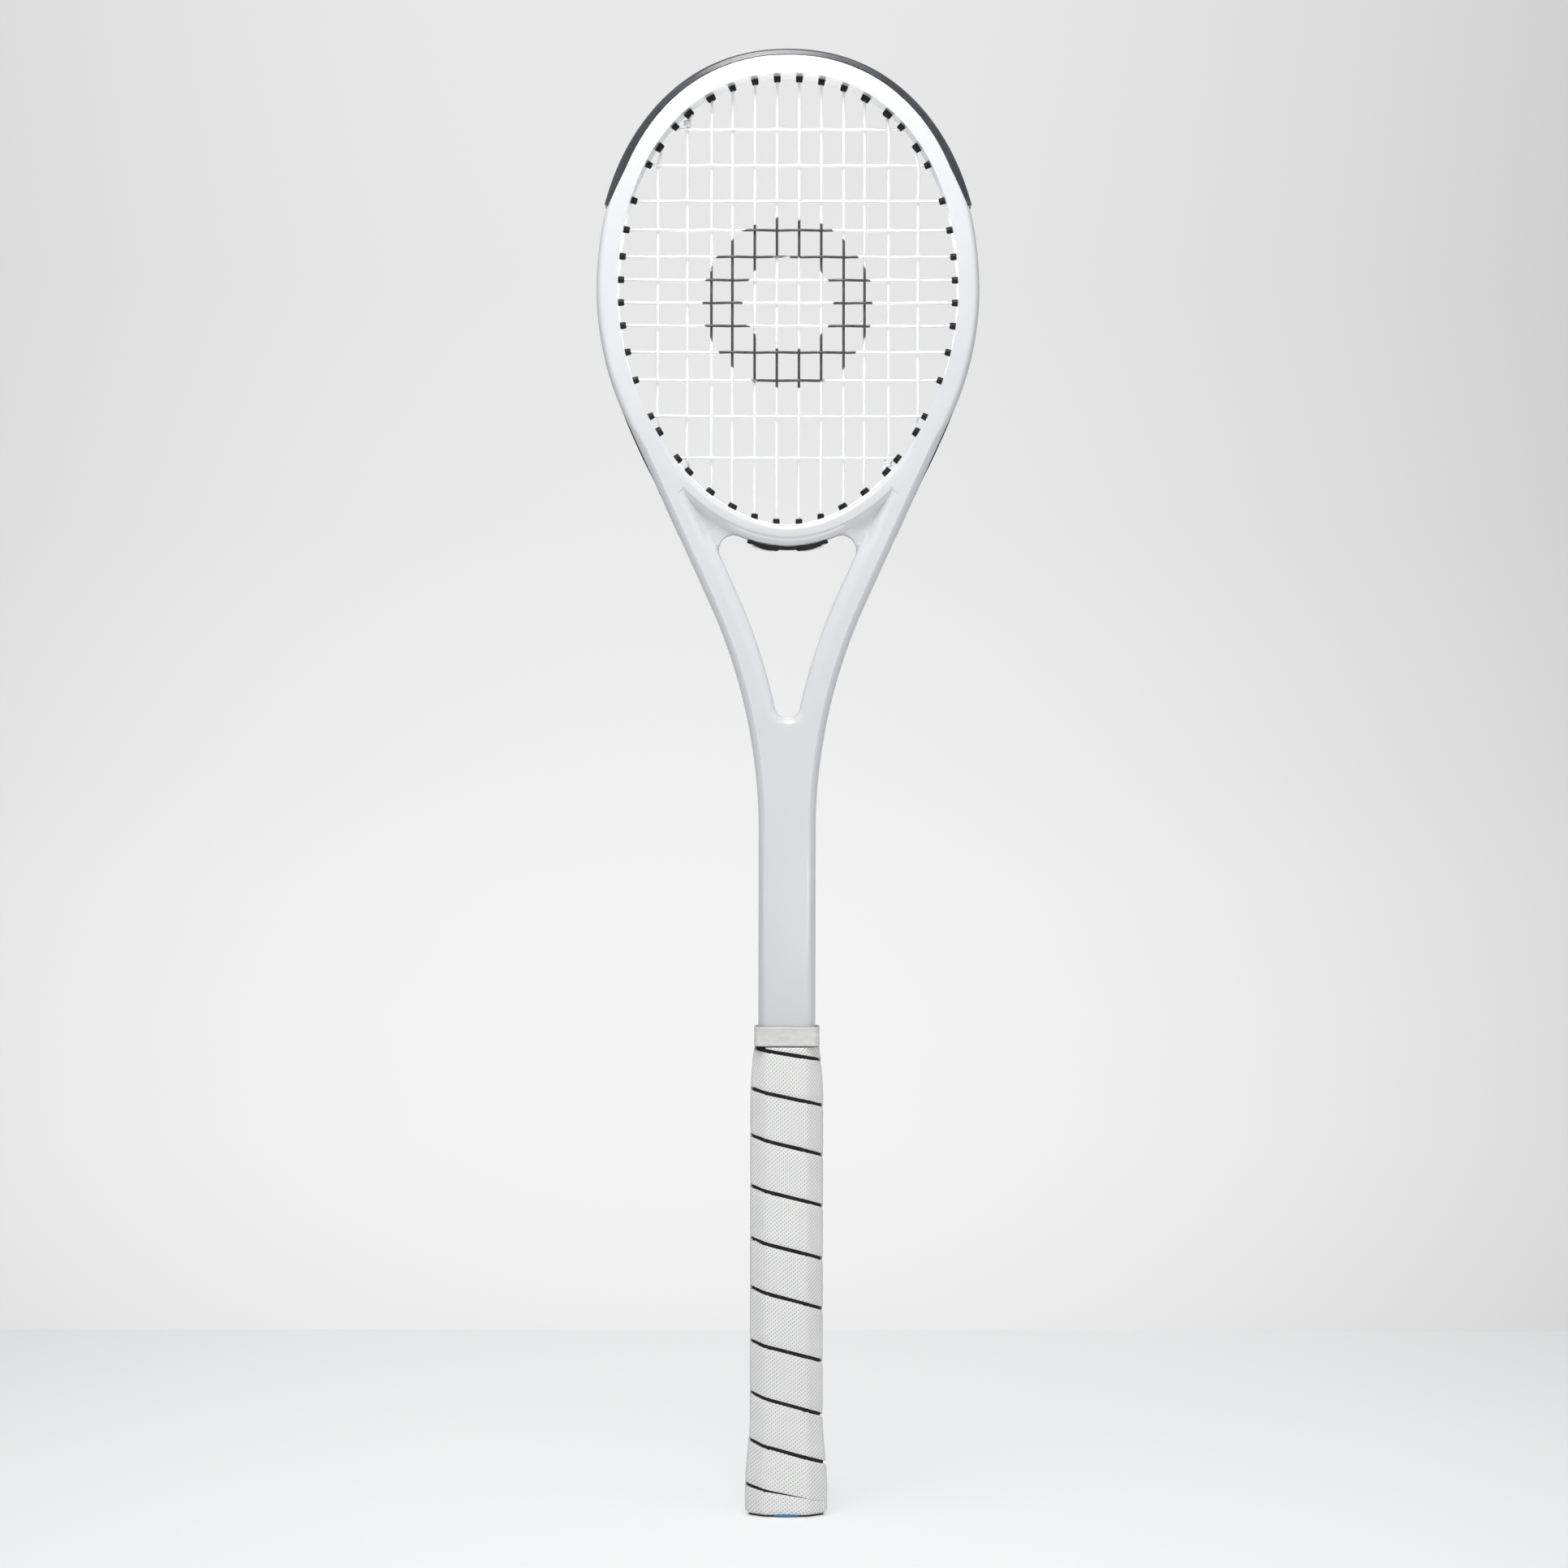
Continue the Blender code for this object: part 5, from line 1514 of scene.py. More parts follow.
    def hole(self, end: End, number: int, wall: Rows, normal: Rows, y: float, tie: float = 0.0) -> Hole:
        """One hole with its turning points outside the head.

        Its mouth leans along the wall towards its string. Under the throat it comes out steeply on the
        strip's track, low mains tunnel to an exit on the outer edge, and all others run straight out to it.

        Args:
            end: what string end it serves.
            number: the string's number.
            wall: its place on the opening's edge.
            normal: outward direction there.
            y: its depth.
            tie: a tie-off hole's distance along the wall from its main's own hole.

        Returns:
            The hole.
        """
        made = Hole(end, number, wall, normal, y)
        made.wall = wall + made.along * tie
        made.throat = end is End.BOTTOM and self.rank(number) in self.throat_ranks
        if made.throat:
            steep = normal * (self.throat_steepness, 1.0)
            made.normal = steep / np.linalg.norm(steep)
        mouth = made.wall - made.normal * (self.barrel_reach + self.mouth_clearance)
        axis, aim = (1, self.cross_z(number)) if end is End.CROSS else (0, self.main_x(number))
        if not tie:
            slant = (aim - mouth[axis]) / made.along[axis]
            made.slant = float(np.clip(slant, -self.slant_limit, self.slant_limit))
        made.bend = mouth + made.along * made.slant
        if made.throat:
            made.run = float((made.wall + made.normal * self.throat_track)[0])
            made.reach = self.plan.hoop + self.plan.gap + self.strip_floor
            made.turn = [made.wall + made.normal * (self.throat_track - self.turn_back)]
        elif end is End.BOTTOM and self.rank(number) in self.exits:
            self.tunnel_out(made, self.exits[self.rank(number)])
        else:
            made.reach, made.run = self.on_track(made.wall, made.normal)
            made.turn = [made.wall + made.normal * (made.reach - self.turn_back)]
        return made

    def tunnel_out(self, made: Hole, height: float) -> None:
        """Leads a hole inside the moulding to where the outer edge is at a height.

        Args:
            made: the hole.
            height: the exit's height.
        """
        turn = made.wall + made.normal * self.tunnel
        points = self.plan.flank((200, 200, 60))[0]
        out = points[np.argmin(np.abs(points[:, 1] - height))] * (made.side, 1.0)
        way = (out - turn) / np.linalg.norm(out - turn)
        reach, made.run = self.on_track(turn, way)
        made.strip = False
        made.reach = self.tunnel - self.tunnel_barrel
        made.turn = [turn, turn + way * (reach - self.turn_back)]

    def all_holes(self) -> list[Hole]:
        """Tops and bottoms of the mains, ends of the crosses, and the four tie-off holes.

        Returns:
            The holes in the order they are made.
        """
        holes = []
        for number in range(1, self.count + 1):
            x = self.main_x(number)
            for end, table, way in ((End.TOP, self.top_slips, -1), (End.BOTTOM, self.slips, 1)):
                slip = table[self.rank(number) - 1] * way
                place = self.wall_place(x, True, end is End.TOP, x > 0, slip)
                holes.append(self.hole(end, number, *place, self.layer))
            for side in (-1, 1):
                slip = -self.cross_slip if number == 1 else 0.0
                place = self.wall_place(self.cross_z(number), False, True, side > 0, slip)
                holes.append(self.hole(End.CROSS, number, *place, -self.layer))
        for end, way in ((End.TIE_TOP, 1), (End.TIE_BOTTOM, -1)):
            for number in (2, self.count - 1):
                x = self.main_x(number)
                place = self.wall_place(x, True, end is End.TIE_TOP, x > 0)
                holes.append(self.hole(end, number, *place, -self.layer, self.tie_step * np.sign(x) * way))
        return holes

    def find(self, end: End, number: int, side: int | None = None) -> Hole:
        """The hole of this end and number."""
        return next(h for h in self.holes if h.end is end and h.number == number and side in (None, h.side))

    def through(self, hole: Hole, outward_bound: bool) -> list[Rows]:
        """The string's points through one hole."""
        points = [lifted(p, hole.y) for p in (hole.bend, hole.wall, *hole.turn)]
        return points if outward_bound else points[::-1]

    def loop(self, first: Hole, second: Hole) -> list[Rows]:
        """The string's points outside the frame from one hole to the next.

        Args:
            first: the hole that the string leaves.
            second: the hole that it goes to.

        Returns:
            The points between them.
        """
        low, high = first.run, second.run
        way = 1 if high > low else -1
        start, end = low + way * self.loop_inset, high - way * self.loop_inset
        count = max(2, int(abs(end - start) / self.loop_step) + 1)
        share = np.linspace(0, 1, count)
        runs = start + (end - start) * share
        ys = first.y + (second.y - first.y) * share
        if first.throat:
            track = self.plan.oval(np.linspace(-math.pi, 0, 3000), self.throat_track)[0]
            flats = [track[np.argmin(np.abs(track[:, 0] - run))] for run in runs]
        else:
            flats = self.plan.edge_at(runs, self.inset)
        return [lifted(flat, y) for flat, y in zip(flats, ys)]

    def crossings(self, number: int, main: bool, forward: bool) -> list[Rows]:
        """A string's crossings: downward for a main, rightward for a cross, or the other way.

        Args:
            number: the string's number.
            main: whether it is a main.
            forward: whether it runs down or to the right.

        Returns:
            The points over and under the strings it crosses.
        """
        axis = 1 if main else 0
        first = self.find(End.BOTTOM, number) if main else self.find(End.CROSS, number, -1)
        last = self.find(End.TOP, number) if main else self.find(End.CROSS, number, 1)
        low, high = first.bend[axis] + self.end_clearance, last.bend[axis] - self.end_clearance
        points = []
        for other in range(1, self.count + 1):
            column, row = (number, other) if main else (other, number)
            place = (self.main_x(column), self.cross_z(row))
            if low < place[axis] < high:
                side = self.sign(column, row) * (1 if main else -1)
                points.append(lifted(place, self.weave * side))
        return points if forward else points[::-1]

    @staticmethod
    def sign(main: int, cross: int) -> int:
        """1 where a main lies behind a cross, towards +Y, and -1 where it lies in front."""
        return 1 if (main + cross) % 2 else -1

    def knot(self, tie: Hole, main: int, upper: bool) -> list[Rows]:
        """The string's end turned round its neighbour: a circle that climbs a little each turn.

        Args:
            tie: the hole that the end comes from.
            main: the main that it is tied to.
            upper: whether it is at the top.

        Returns:
            The points of the turns.
        """
        x = self.main_x(main)
        way = -1 if upper else 1
        base = self.find(End.TOP if upper else End.BOTTOM, main).bend[1] + way * self.knot_stand_off
        first = math.atan2(-self.layer, tie.bend[0] - x)
        turn = np.linspace(0, TURN * self.knot_turns, self.knot_points)
        angle, rise = first + turn, turn / TURN * self.knot_pitch
        ys = self.layer * self.knot_layer_share + self.knot_radius * np.sin(angle)
        return list(np.column_stack([x + self.knot_radius * np.cos(angle), ys, base + way * rise]))

    def path(self) -> Rows:
        """The whole string: knot, mains from left to right, crosses from top to bottom, knot.

        Returns:
            The string's fixed points.
        """
        start = self.find(End.TIE_TOP, 2)
        path = self.knot(start, 2, True)[::-1] + self.through(start, True)
        path += self.loop(start, self.find(End.TOP, 1)) + self.through(self.find(End.TOP, 1), False)
        for number in range(1, self.count + 1):
            down = number % 2 == 1
            here = End.BOTTOM if down else End.TOP
            last = self.find(here, number)
            path += self.crossings(number, True, down) + self.through(last, True)
            if number < self.count:
                following = self.find(here, number + 1)
                path += self.loop(last, following) + self.through(following, False)
        for number in range(1, self.count + 1):
            side = 1 if number % 2 else -1
            enter = self.find(End.CROSS, number, side)
            path += self.loop(last, enter) + self.through(enter, False)
            last = self.find(End.CROSS, number, -side)
            path += self.crossings(number, False, side < 0) + self.through(last, True)
        end = self.find(End.TIE_BOTTOM, self.count - 1)
        path += self.loop(last, end) + self.through(end, False) + self.knot(end, end.number, False)
        return np.array(path)

    def barrel_surface(self, hole: Hole) -> Surface:
        """A barrel turned from a profile: rounded mouth inside the head, plain shank to the strip.

        A barrel whose string slants is widened along the wall and moved towards the string.

        Args:
            hole: the hole that it lines.

        Returns:
            The barrel.
        """
        start = lifted(hole.wall - hole.normal * self.barrel_reach, hole.y)
        end = lifted(hole.wall + hole.normal * hole.reach, hole.y)
        length = float(np.linalg.norm(end - start))
        r, m, b = self.barrel, self.barrel_mouth, self.bore
        lip, tip = self.lip, self.lip_length
        profile = np.array([
            (0.0, b + lip / 2), (-lip / 2, (m + b) / 2), (0.0, m - lip), (0.375 * tip, m - 0.3 * lip),
            (tip, m), (self.barrel_reach, r), (length, r), (length, b), (length / 2, b), (tip, b),
        ])
        surface = turned(start, end, profile)
        if abs(hole.slant) < self.lean_least:
            return surface
        along = lifted(hole.along, 0.0)
        lateral = (surface.points - start) @ along
        surface.points = surface.points + np.outer(lateral * self.lean + self.lean_shift * hole.slant, along)
        return surface

    def build(self) -> None:
        """Makes and dresses the string."""
        path = smooth_path(self.path(), self.path_step)
        LOG.info("string length %.2f m", steps_of(path).sum())
        string, coat = tube(path, self.radius, self.path_sides), StringCoat().material()
        dress("string_bed", string, coat, "string", Body.RACKET, "racket_string", sharp=80.0)


@dataclass
class Strips:
    """Bumper guard, side strips, throat strip and corner grommets, each with its barrels."""

    plan: Plan
    stringing: Stringing
    wall: float = 0.001
    draft: float = 0.0001
    soft: float = 0.0002
    hook: float = 0.0006
    hook_slope: float = 0.0003
    skin_power: float = 4.0
    flap_points: int = 9
    flap_crowding: float = 1.6
    flap_edge: float = 0.0016
    flap_edge_power: float = 1.5
    flap_lip: float = 0.00012
    proud: float = 0.0005
    proud_least: float = 0.00006
    proud_middle: float = 0.5005
    proud_reach: float = 0.013
    throat_half: float = 0.0186
    bulge_place: float = 0.009
    bulge_half: float = 0.0051
    bulge_rise: float = 0.0011
    throat_rim: float = 0.0014
    throat_taper: float = 0.0015
    throat_least: float = 0.02

    @staticmethod
    def closed(front: list[Pair]) -> Rows:
        """A channel's section from its front half, mirrored to the back."""
        rows = np.array(front)
        return np.vstack([rows, rows[::-1] * (1, -1)])

    def channel(self) -> Pair:
        """Half depths of a channel's outer and inner walls."""
        outer = self.plan.groove_half - self.draft - self.plan.gap
        return outer, outer - self.wall

    def section(self, height: float, winged: bool) -> Rows:
        """The channel's section at a height, as (inward, depth) rows down its front, then its back.

        A plain channel stands proud of the edge by an even amount, which grows near the middle of the side.

        Args:
            height: where along the edge, as a height.
            winged: whether it is the guard's, with its flap.

        Returns:
            Rows of inward distance and depth.
        """
        plan, soft = self.plan, self.soft
        floor_in = plan.groove_depth - plan.gap
        floor_out = floor_in - self.stringing.strip_floor
        outer, inner = self.channel()
        if winged:
            rise = np.clip((height - plan.widest) / (plan.oval_top - plan.widest), 0, 1) ** self.skin_power
            skin = plan.guard_skin + plan.gap + plan.crown_skin * float(rise)
            hook = (-skin + self.draft, inner + self.hook)
            ends = [hook, (hook[0] + self.hook_slope, inner), (floor_out, inner)]
            return self.closed([(floor_in, outer), (-plan.gap, outer), *self.wing(height, skin), *ends])
        bulge = float(np.exp(-(((height - self.proud_middle) / self.proud_reach) ** 4)))
        proud = self.proud_least + self.proud * bulge
        rim = [(-proud + soft, outer), (-proud, outer - soft), (-proud, inner + soft), (-proud + soft, inner)]
        return self.closed([(floor_in, outer), *rim, (floor_out, inner)])

    def wing(self, height: float, skin: float) -> list[Pair]:
        """The guard's flap over the hoop: under side outward in, a rounded lip, then its outer side back.

        Args:
            height: where along the edge, as a height.
            skin: thickness at the edge.

        Returns:
            Pairs of inward distance and depth.
        """
        plan = self.plan
        under, over = [], []
        band = float(plan.guard_band(height))
        thick = plan.guard_skin * (0.5 + 0.5 * float(plan.guard_share(height)))
        for share in np.linspace(0.0, 1.0, self.flap_points) ** self.flap_crowding:
            inward = band * share
            top = float(plan.rounded(inward, plan.hoop_round, plan.wall, plan.half_depth))
            edge = (1 - min(1.0, inward / self.flap_edge)) ** self.flap_edge_power
            under.append((inward - plan.gap * edge, top - thick))
            over.append((inward - skin * edge, top))
        tip = band + self.flap_lip
        lip = [(tip, under[-1][1] + 0.3 * thick), (tip, over[-1][1] - 0.25 * thick)]
        over[-1] = (band - self.draft, over[-1][1])
        return under + lip + over[::-1]

    def swept(self, start: float, end: float, count: int, winged: bool) -> Surface:
        """The channel's section carried along the outer edge between two runs.

        Args:
            start: distance along the edge where it starts.
            end: where it ends.
            count: how many sections.
            winged: whether it is the guard's, with its flap.

        Returns:
            The channel.
        """
        rings = []
        for run in np.linspace(start, end, count):
            base = self.plan.edge_at(run, 0.0)
            inward = self.plan.edge_at(run, 1.0) - base
            rows = self.section(float(base[1]), winged)
            rings.append(upright(base + inward * rows[:, :1], rows[:, 1]))
        return carried(np.array(rings))

    def throat_body(self) -> Surface:
        """The strip under the bridge: a channel whose rim swells over its two string loops.

        Each swelling is half an ellipse along the strip, and the rim falls to the floor at both ends.

        Returns:
            The strip without its barrels.
        """
        plan, soft = self.plan, self.soft
        under, normal = plan.oval(np.linspace(-math.pi, 0, 6000), plan.hoop)
        outer, inner = self.channel()
        floor = plan.gap + self.stringing.strip_floor
        rings = []
        for x in np.linspace(-self.throat_half, self.throat_half, 120):
            index = np.argmin(np.abs(under[:, 0] - x))
            near = (abs(x) - self.bulge_place) / self.bulge_half
            swell = self.bulge_rise * math.sqrt(max(0.0, 1 - near**2))
            ends = min(1.0, (self.throat_half - abs(x)) / self.throat_taper)
            least = floor + soft
            full = plan.gap + self.throat_rim + swell
            rim = least + (full - least) * math.sqrt(max(self.throat_least, ends))
            rows = self.closed([
                (plan.gap, outer), (rim - 1.5 * soft, outer), (rim, outer - 1.5 * soft),
                (rim, inner + 0.5 * soft), (rim - soft, inner), (floor, inner),
            ])
            rings.append(upright(under[index] + normal[index] * rows[:, :1], rows[:, 1]))
        return carried(np.array(rings))

    def barrels(self, holes: list[Hole]) -> list[Surface]:
        """The barrels of holes."""
        return [self.stringing.barrel_surface(hole) for hole in holes]

    def build(self) -> None:
        """Makes and dresses every strip."""
        plan, black = self.plan, GrommetPlastic().material()
        outer = [hole for hole in self.stringing.holes if not hole.throat]
        start, end = plan.run_at_height(plan.guard_tip, True), plan.run_at_height(plan.guard_tip, False)
        guard = self.swept(start, end, 260, True)
        dress("crown_guard", guard, GuardPlastic().material(), "guard", Body.RACKET, "bumper_guard")
        crown = self.barrels([hole for hole in outer if start < hole.run < end])
        dress("crown_barrels", merged(*crown), black, "grommet", Body.RACKET)
        for name, right in (("left", False), ("right", True)):
            low = plan.run_at_height(plan.strip_end, right)
            high = plan.run_at_height(plan.guard_tip, right) + 1.5 * plan.gap * (-1 if right else 1)
            mine = [hole for hole in outer if min(low, high) < hole.run < max(low, high)]
            barrels = self.barrels([hole for hole in mine if hole.strip])
            strip = merged(self.swept(low, high, 130, False), *barrels)
            dress(f"hoop_strip_{name}", strip, black, "grommet", Body.RACKET, f"side_grommet_strip_{name}")
            tunnelled = [hole for hole in mine if not hole.strip]
            corners = sorted(tunnelled, key=lambda hole: hole.number * hole.side)
            for index, barrel in enumerate(self.barrels(corners), 1):
                node = f"corner_grommet_{name}_{index}"
                dress(f"corner_bushing_{name}_{index}", barrel, black, "grommet", Body.RACKET, node)
        under = self.barrels([hole for hole in self.stringing.holes if hole.throat])
        strip = merged(self.throat_body(), *under)
        dress("bridge_strip", strip, black, "grommet", Body.RACKET, "throat_grommet_strip")


# Handle


@dataclass
class Tape:
    """The grip tape's cut: its lines, ragged edges and the curl of its foot."""

    thick: float = 0.001
    pitch: float = 0.0236
    line: float = 0.0017
    left_lines: tuple[float, ...] = (
        0.2184, 0.1996, 0.1778, 0.1542, 0.1298, 0.1069, 0.0819, 0.0578, 0.0357, 0.0151,
    )
    right_lines: tuple[float, ...] = (
        0.2129, 0.1915, 0.1682, 0.1445, 0.1198, 0.0964, 0.0720, 0.0468, 0.0245, 0.0062,
    )
    line_points: int = 2400
    line_blur: int = 31
    slit_close: float = 0.0095
    slit_growth: float = 0.0045
    slit_least: float = 0.00006
    foot: float = 0.0008
    top_gap: float = 0.0002
    last_turn: float = 0.86
    least: float = 0.0004
    levels: int = 15
    ragged: tuple[Wave, Wave] = ((0.00012, 1.9, 0.0), (0.00009, 3.7, 1.0))
    wander: tuple[Wave, Wave] = ((0.00012, 0.31, 0.0), (0.00009, 2.6, 0.0))
    edge_sink: float = 0.0003
    edge_reach: float = 0.0006
    ripple: float = 0.00004
    ripple_pace: float = 900.0
    ripple_drift: float = 0.2
    curl_height: float = 0.0032
    curl_depth: float = 0.0026
    curl_share: float = 0.98
    curl_skin: float = 0.0003

    @staticmethod
    def waves(waves: tuple[Wave, Wave], step: float) -> float:
        """A sum of sines of the step, each with its height, pace and start."""
        return sum(height * math.sin(step * pace + start) for height, pace, start in waves)

    def slit(self, line: float) -> float:
        """Width of the gap along the line, closed where the last turn laps itself."""
        open_share = float(np.clip((line - self.slit_close) / self.slit_growth, 0.0, 1.0))
        return self.line * open_share + self.slit_least

    def sink(self, levels: Rows, bottom: float, step: int) -> Rows:
        """How far the tape lies in at levels of one cut.

        Its cut edges are pressed thin, sines ripple its face, and its foot curls under the butt in an arc.

        Args:
            levels: heights down the cut.
            bottom: the cut's lower end.
            step: which cut it is.

        Returns:
            The insets.
        """
        thin = np.minimum(np.where(bottom > self.foot, levels - bottom, 1.0), levels[0] - levels)
        wave = self.ripple * np.sin(levels * self.ripple_pace + step * self.ripple_drift)
        pressed = self.edge_sink * np.exp(-thin / self.edge_reach) + wave
        curl = 1 - np.clip((levels - self.foot) / self.curl_height, 0, 1)
        return pressed + self.curl_depth * (1 - np.sqrt(1 - self.curl_share * curl**2))


@dataclass
class Handle:
    """Grip, collar and butt: eight-sided rings that swell towards the butt."""

    plan: Plan
    tape: Tape = field(default_factory=Tape)
    half_width: float = 0.01705
    half_deep: float = 0.0150
    top_narrowing: float = 0.0018
    top_taper: float = 0.023
    flare: float = 0.0022
    flare_length: float = 0.034
    flare_low: float = 0.012
    facet: float = 0.56
    facet_slope: float = 0.95
    facet_round: float = 0.0022
    facet_points: int = 5
    ring_height: float = 0.1
    front_share: float = 0.4
    backing: float = 0.0007
    backing_gap: float = 0.0003
    backing_bottom: float = 0.0055
    foot_heights: tuple[float, ...] = (0.0002, 0.0006, 0.0010)
    foot_insets: Pair = (0.0017, 0.0027)
    cap_height: float = 0.036
    cap_wall: float = 0.0016
    cap_floor: float = 0.0035
    cap_foot: tuple[Pair, ...] = ((0.0, 0.0036), (0.0002, 0.0031), (0.0006, 0.0028), (0.0012, 0.0024))
    cap_heights: tuple[float, ...] = (0.0022, 0.006, 0.012, 0.020, 0.028, 0.036)
    collar_height: float = 0.009
    collar_wall: float = 0.0011
    collar_points: int = 26
    collar_waist: float = 0.80
    collar_lip: Pair = (0.2, 0.12)
    collar_foot: Pair = (0.16, 0.3)
    collar_edge: Pair = (0.35, 0.07)
    collar_top_share: float = 0.3
    finishing: float = 0.0004
    finishing_height: float = 0.0083
    shaft_clearance: float = 0.0001
    panel: Place = (0.0125, 0.0095, 0.0018)
    panel_rings: tuple[Pair, ...] = (
        (0.0015, 0.0), (0.0005, 0.0), (0.0001, 0.0002), (0.0, 0.0006), (0.0, 0.003),
    )
    panel_round: float = 0.001
    tongue_half: float = 0.0054
    tongue_back: float = 0.0009
    tongue_bow: float = 0.0006
    tongue_rings: tuple[Pair, ...] = (
        (0.0, 0.97), (0.0002, 0.99), (0.0005, 1.0), (0.0011, 1.0), (0.0013, 0.985),
    )

    def size(self, z: float) -> Pair:
        """Outer half width and half depth of the taped grip at a height.

        Args:
            z: the height.

        Returns:
            The half width and half depth.
        """
        top = np.clip((z - (self.plan.handle_top - self.top_taper)) / self.top_taper, 0, 1)
        low = np.clip((self.flare_length + self.flare_low - z) / self.flare_length, 0, 1)
        swell = self.flare * (3 * low**2 - 2 * low**3) - self.top_narrowing * top**1.5
        return float(self.half_width + swell), float(self.half_deep + swell)

    def ring(self, z: float, inset: float) -> Rows:
        """An octagon with rounded corners at a height, drawn in by an inset.

        Each corner is a curve of second degree from the side before it to the side after it.

        Args:
            z: the height.
            inset: distance inward from the tape's face.

        Returns:
            The ring's points, from the right over the back.
        """
        wide, deep = (half - inset for half in self.size(z))
        across = wide * self.facet
        quarter = np.array([(wide, deep - (wide - across) * self.facet_slope), (across, deep)])
        key = both_halves(quarter)
        before, after = np.roll(key, 1, axis=0), np.roll(key, -1, axis=0)
        back = (before - key) / np.linalg.norm(before - key, axis=1)[:, None] * self.facet_round
        ahead = (after - key) / np.linalg.norm(after - key, axis=1)[:, None] * self.facet_round
        t = np.linspace(0, 1, self.facet_points)[None, :, None]
        bend = key[:, None] + back[:, None] * (1 - t) ** 2 + ahead[:, None] * t**2
        return level(bend.reshape(-1, 2), z)

    def around(self) -> tuple[Rows, float]:
        """How far round the grip each point of a ring lies.

        Returns:
            The shares of the whole way, and the whole way in metres.
        """
        ring = self.ring(self.ring_height, 0.0)
        way = travelled(np.vstack([ring, ring[:1]]))
        return way[:-1] / way[-1], way[-1]

    def silhouettes(self) -> Pair:
        """Where the edges of the grip's front lie.

        Returns:
            The shares of the way round at the left and the right edge.
        """
        depth = self.ring(self.ring_height, 0.0)[:, 1]
        front = self.around()[0][depth < self.front_share * depth.min()]
        return float(front.min()), float(front.max())

    def line_heights(self, turns: Rows) -> Rows:
        """Heights of the tape's line after so many turns.

        The line passes the front's left edge and then its right edge at the heights seen there, and runs
        straight between them, with its bends softened. Near the butt it bends level and ends.

        Args:
            turns: turns from the front's left edge at the top line, falling to the right.

        Returns:
            The height at each.
        """
        start, end = self.silhouettes()
        knots = [(-1.0, self.tape.left_lines[0] + self.tape.pitch)]
        for turn, pair in enumerate(zip(self.tape.left_lines, self.tape.right_lines)):
            knots += [(turn, pair[0]), (turn + end - start, pair[1])]
        place, height = np.array(knots).T
        dense = np.linspace(-1.0, place[-1], self.tape.line_points)
        width = self.tape.line_blur
        padded = np.pad(np.interp(dense, place, height), width, mode="edge")
        line = np.convolve(padded, np.hanning(width) / np.hanning(width).sum(), "same")[width:-width]
        return np.interp(turns, dense, line)

    def ribbon(self) -> Surface:
        """The tape: its section carried along a spiral that falls to the right across the front.

        Each cut goes down its outer face and back up its inner one, between this turn's line and the next.

        Returns:
            The tape with map coordinates in metres along and across.
        """
        tape, high = self.tape, self.plan.handle_top - self.tape.top_gap
        share, perimeter = self.around()
        sides = len(share)
        first = int(np.argmin(np.abs(share - self.silhouettes()[0])))
        last = len(tape.left_lines) - 1 + tape.last_turn
        steps = np.arange(-sides, int((last + 1) * sides))
        corners = (first + steps) % sides
        turns = (first + steps) // sides + share[corners] - share[first]
        lines, afters = self.line_heights(turns), self.line_heights(turns + 1.0)
        rings, maps = [], []
        for step, corner, turn, line, after in zip(steps, corners, turns, lines, afters):
            top = min(line - tape.slit(line) / 2 + tape.waves(tape.ragged, step), high)
            bottom = tape.foot
            if turn + 1.0 <= last:
                bottom = max(after + tape.slit(after) / 2 + tape.waves(tape.wander, step), bottom)
            if turn > last or top - bottom < tape.least:
                continue
            levels = np.linspace(top, bottom, tape.levels)
            sink = tape.sink(levels, bottom, step)
            back = [(bottom, max(tape.thick, sink[-1] + tape.curl_skin))]
            back += [((top + bottom) / 2, tape.thick), (top, tape.thick)]
            rings.append([self.ring(z, inset)[corner] for z, inset in [*zip(levels, sink), *back]])
            across = line - levels[[*range(tape.levels), -1, tape.levels // 2, 0]]
            maps.append(np.column_stack([np.full(len(across), turn * perimeter), across]))
        return carried(np.array(rings), uv=np.array(maps))

    def sleeve(self, heights: Rows, outer: float, inner: float) -> Surface:
        """A closed sleeve round the handle between two insets."""
        rings = [self.ring(z, outer) for z in heights] + [self.ring(z, inner) for z in heights[::-1]]
        return carried(np.array(rings), closed=True)

    def shaft_ring(self, z: float, out: float, slim: float = 0.0) -> Rows:
        """A rounded ring round the shaft at a height, grown outward and slimmed towards the core.

        Args:
            z: the height.
            out: distance outward from the shaft.
            slim: 0 on the full shaft and 1 on the core.

        Returns:
            The ring's points.
        """
        plan = self.plan
        half = plan.shaft + (plan.core_half_width - plan.shaft) * slim + out
        deep = plan.half_depth + (plan.core_half_depth - plan.half_depth) * slim + out
        cut = plan.hoop_round + self.shaft_clearance
        quarter = rays(np.linspace(0, math.pi / 2, 9)) * cut + (half - cut, deep - cut)
        return level(both_halves(quarter), z)

